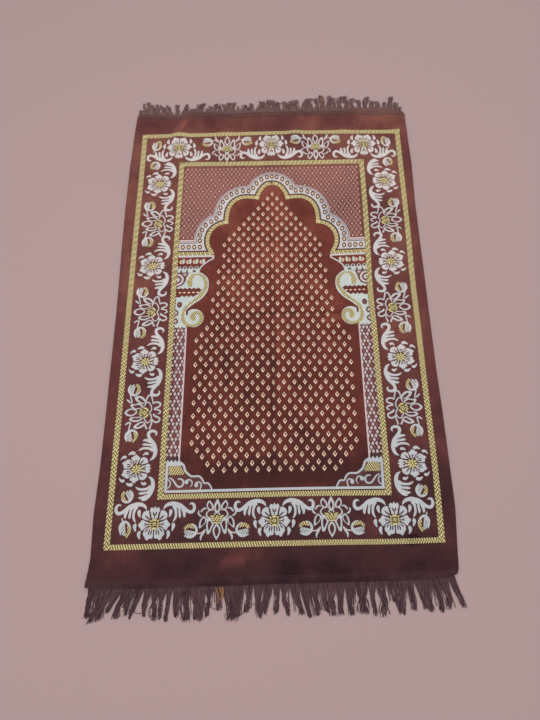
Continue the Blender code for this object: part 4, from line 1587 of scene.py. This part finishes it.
def place_group(tree, group, values):
    """Puts a shared group in a material with this material's own values."""
    return add_node(tree, "ShaderNodeGroup", values, node_tree=group)


def cover(tree, shader, tint, grain):
    """Gives the shader its colour, shaded by the threads, and their bump."""
    coloured = blend_node(tree, "MULTIPLY", 1.0, tint, grain.outputs["Shade"])
    tree.links.new(coloured, shader.inputs["Base Color"])
    tree.links.new(grain.outputs["Normal"], shader.inputs["Normal"])


def ramp_node(tree, share, stops):
    """A smooth run of colours; the first two stops are its ends."""
    ramp = add_node(tree, "ShaderNodeValToRGB", {"Fac": share})
    ramp.color_ramp.interpolation = "EASE"
    for index, (place, colour) in enumerate(stops):
        stop = ramp.color_ramp.elements[index] if index < 2 else ramp.color_ramp.elements.new(place)
        stop.position = place
        stop.color = linear(*colour)
    return ramp.outputs[0]


def pile_material(name, stops, groups, field_stops=None):
    """Cut pile: its colour runs through the stops as the nap lies darker or lighter."""
    material, tree, shader = start_material(name, 0.92, sheen=0.2, sheen_tint=linear(214, 140, 126))
    lean = place_group(tree, groups["nap"], {"Clouds": 0.6, "Strokes": 0.22, "Middle": 0.5})
    tint = ramp_node(tree, lean.outputs[0], stops)
    if field_stops:
        within = attribute_node(tree, "field")
        tint = blend_node(tree, "MIX", within, tint, ramp_node(tree, lean.outputs[0], field_stops))
    grain = place_group(tree, groups["grain"], {
        "Threads per metre": 620.0, "Contrast": 0.26, "Depth": 0.45, "Lengthwise": 0.75})
    cover(tree, shader, tint, grain)
    return material


def yarn_material(name, colour, groups, threads=700.0, contrast=0.16, depth=0.3, head_colour=None):
    """Flat woven yarn with its threads and slubs; it may turn to another colour towards the head."""
    material, tree, shader = start_material(name, 0.8, sheen=0.1)
    grain = place_group(tree, groups["grain"], {
        "Threads per metre": threads, "Contrast": contrast, "Depth": depth, "Lengthwise": 0.35, "Nap": 0.22})
    tint = linear(*colour)
    if head_colour:
        lighter = plus(tree, attribute_node(tree, "nap"), 0.5)
        tint = blend_node(tree, "MIX", lighter, tint, linear(*head_colour))
    cover(tree, shader, tint, grain)
    return material


def strand_material(name, dark, light, groups):
    """Twisted strands: each has its own shade, and fine fibres run round it."""
    material, tree, shader = start_material(name, 0.85, sheen=0.2, sheen_tint=linear(190, 150, 160))
    share = plus(tree, times(tree, attribute_node(tree, "shade"), 0.4), 0.5)
    tint = blend_node(tree, "MIX", share, linear(*dark), linear(*light))
    grain = place_group(tree, groups["grain"], {
        "Threads per metre": 900.0, "Contrast": 0.45, "Depth": 0.3, "Lengthwise": 0.5})
    cover(tree, shader, tint, grain)
    return material


YARNS = (  # piece, slot, name, colour, what differs from a plain yarn
    ("white_figures", "white_yarn", "white yarn", (187, 192, 196), {"head_colour": (205, 196, 193)}),
    ("pearl_figures", "white_yarn", "pearl yarn", (193, 198, 195), {}),
    ("blush_lines", "pink_yarn", "blush yarn", (208, 186, 188), {}),
    ("rose_trellis", "pink_yarn", "rose yarn", (160, 114, 108), {}),
    ("gold_strokes", "gold_yarn", "gold yarn", (214, 197, 143), {"threads": 500.0, "contrast": 0.22}),
    ("olive_weft", "gold_yarn", "olive weft", (90, 78, 44), {"contrast": 0.3}),
    ("cream_accents", "gold_yarn", "cream yarn", (233, 202, 173), {}),
    ("coral_lozenges", "pink_yarn", "coral yarn", (140, 82, 74), {}),
    ("ground_weave", "velvet", "ground weave", (66, 40, 40), {"contrast": 0.3, "depth": 0.5}),
)
STRANDS = (  # piece, slot, name, colours of the darkest and the lightest strand
    ("hem_stitches", "fringe_yarn", "sewing thread", (70, 36, 40), (104, 62, 62)),
    ("fringe_foot_strands", "fringe_yarn", "fringe yarn", (46, 31, 37), (104, 73, 78)),
    ("fringe_head_strands", "fringe_yarn", "faded fringe yarn", (68, 49, 48), (146, 111, 107)),
    ("gold_strands", "gold_yarn", "gold strands", (136, 96, 58), (184, 138, 84)),
)
# how light the pile lies and its colour there; the two ends come first
VELVET_STOPS = (
    (0.0, (38, 19, 24)), (1.0, (154, 102, 88)),
    (0.25, (66, 36, 39)), (0.5, (98, 53, 51)), (0.75, (126, 75, 65)))
FIELD_STOPS = (
    (0.0, (40, 17, 19)), (1.0, (162, 98, 80)),
    (0.25, (67, 33, 32)), (0.5, (101, 47, 40)), (0.75, (137, 72, 58)))
RUSSET_STOPS = (
    (0.0, (72, 44, 46)), (1.0, (160, 110, 100)),
    (0.25, (90, 54, 54)), (0.5, (114, 68, 62)), (0.75, (136, 84, 76)))
BROWN_STOPS = (
    (0.0, (46, 24, 31)), (1.0, (134, 96, 86)),
    (0.25, (69, 43, 46)), (0.5, (92, 61, 58)), (0.75, (112, 76, 70)))


def finishes():
    """What each piece wears: its slot in the record, and its material."""
    groups = {"grain": thread_grain_group(), "nap": nap_group()}
    made = {
        "velvet_pile": ("velvet", pile_material("velvet pile", VELVET_STOPS, groups, FIELD_STOPS)),
        "russet_pile": ("velvet", pile_material("russet pile", RUSSET_STOPS, groups)),
        "brown_pile": ("velvet", pile_material("brown pile", BROWN_STOPS, groups)),
    }
    for piece, slot, name, colour, settings in YARNS:
        made[piece] = (slot, yarn_material(name, colour, groups, **settings))
    for piece, slot, name, dark, light in STRANDS:
        made[piece] = (slot, strand_material(name, dark, light, groups))
    return made


def finish_piece(piece, worn):
    slot, material = worn[piece.name]
    piece.data.materials.append(material)
    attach(piece, "root")
    return piece


# ---- floor, light and camera -----------------------------------------------------------------------
FLOOR_COLOUR = (175, 150, 149)
FLOOR_REACH, FLOOR_DROP = 4.0, -0.0002       # its half size, and how little it lies under the rug
ROOM_LIGHT = 0.655              # strength of the light from all round
LIGHTS = (  # name, place, what it points at, width, power
    ("window", (-0.5, -0.2, 3.0), (0, 0, 0), 1.6, 32.0),
    ("far side", (1.2, 1.0, 2.6), (0, 0.1, 0), 2.0, 10.0),
)
CAMERA_PLACE = (0.04897, -0.52367, 1.10842)
CAMERA_TURN = (20.1125, 0.1578, -1.3428)     # degrees
CAMERA_LENS = 26.957
CAMERA_SHIFT = -0.03945         # the rug lies a little left of where the lens points


def lay_floor():
    """A plain pale floor that reaches well past the view."""
    mesh = bpy.data.meshes.new("floor")
    corners = [(x, y, FLOOR_DROP) for x, y in box(-FLOOR_REACH, -FLOOR_REACH, FLOOR_REACH, FLOOR_REACH)]
    mesh.from_pydata(corners, [], [(0, 1, 2, 3)])
    material, _, shader = start_material("plain floor", 0.95, specular=0.05)
    shader.inputs["Base Color"].default_value = linear(*FLOOR_COLOUR)
    mesh.materials.append(material)
    put("floor", mesh)


def light_and_camera():
    world = bpy.data.worlds.new("soft room")
    world.use_nodes = True
    room = world.node_tree.nodes["Background"]
    room.inputs["Color"].default_value = (1.0, 1.0, 1.0, 1.0)
    room.inputs["Strength"].default_value = ROOM_LIGHT
    bpy.context.scene.world = world
    bpy.context.scene.view_settings.view_transform = "Standard"
    for name, place, aim, size, power in LIGHTS:
        light = bpy.data.lights.new(name, "AREA")
        light.shape = "DISK"
        light.size = size
        light.energy = power
        lamp = put(name, light)
        lamp.location = place
        lamp.rotation_euler = (Vector(aim) - Vector(place)).to_track_quat("-Z", "Y").to_euler()
    camera = put("camera", bpy.data.cameras.new("camera"))
    camera.location = CAMERA_PLACE
    camera.rotation_euler = [math.radians(angle) for angle in CAMERA_TURN]
    camera.data.lens = CAMERA_LENS
    camera.data.shift_x = CAMERA_SHIFT
    bpy.context.scene.camera = camera


def make_rug():
    worn = finishes()
    ground = finish_piece(ground_sheet(), worn)
    carried = [finish_piece(piece, worn) for piece in weave()]
    foot = finish_piece(fringe("fringe_foot_strands", FOOT_LOCKS, seed=11, fullness=1.15), worn)
    head = finish_piece(fringe("fringe_head_strands", HEAD_LOCKS, seed=23, fullness=1.35), worn)
    carried += [foot, head, finish_piece(hem_stitches(), worn), finish_piece(gold_strands(), worn)]
    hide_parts("rug_cloth")
    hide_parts("fringe_foot")
    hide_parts("fringe_head")


make_rug()
lay_floor()
light_and_camera()
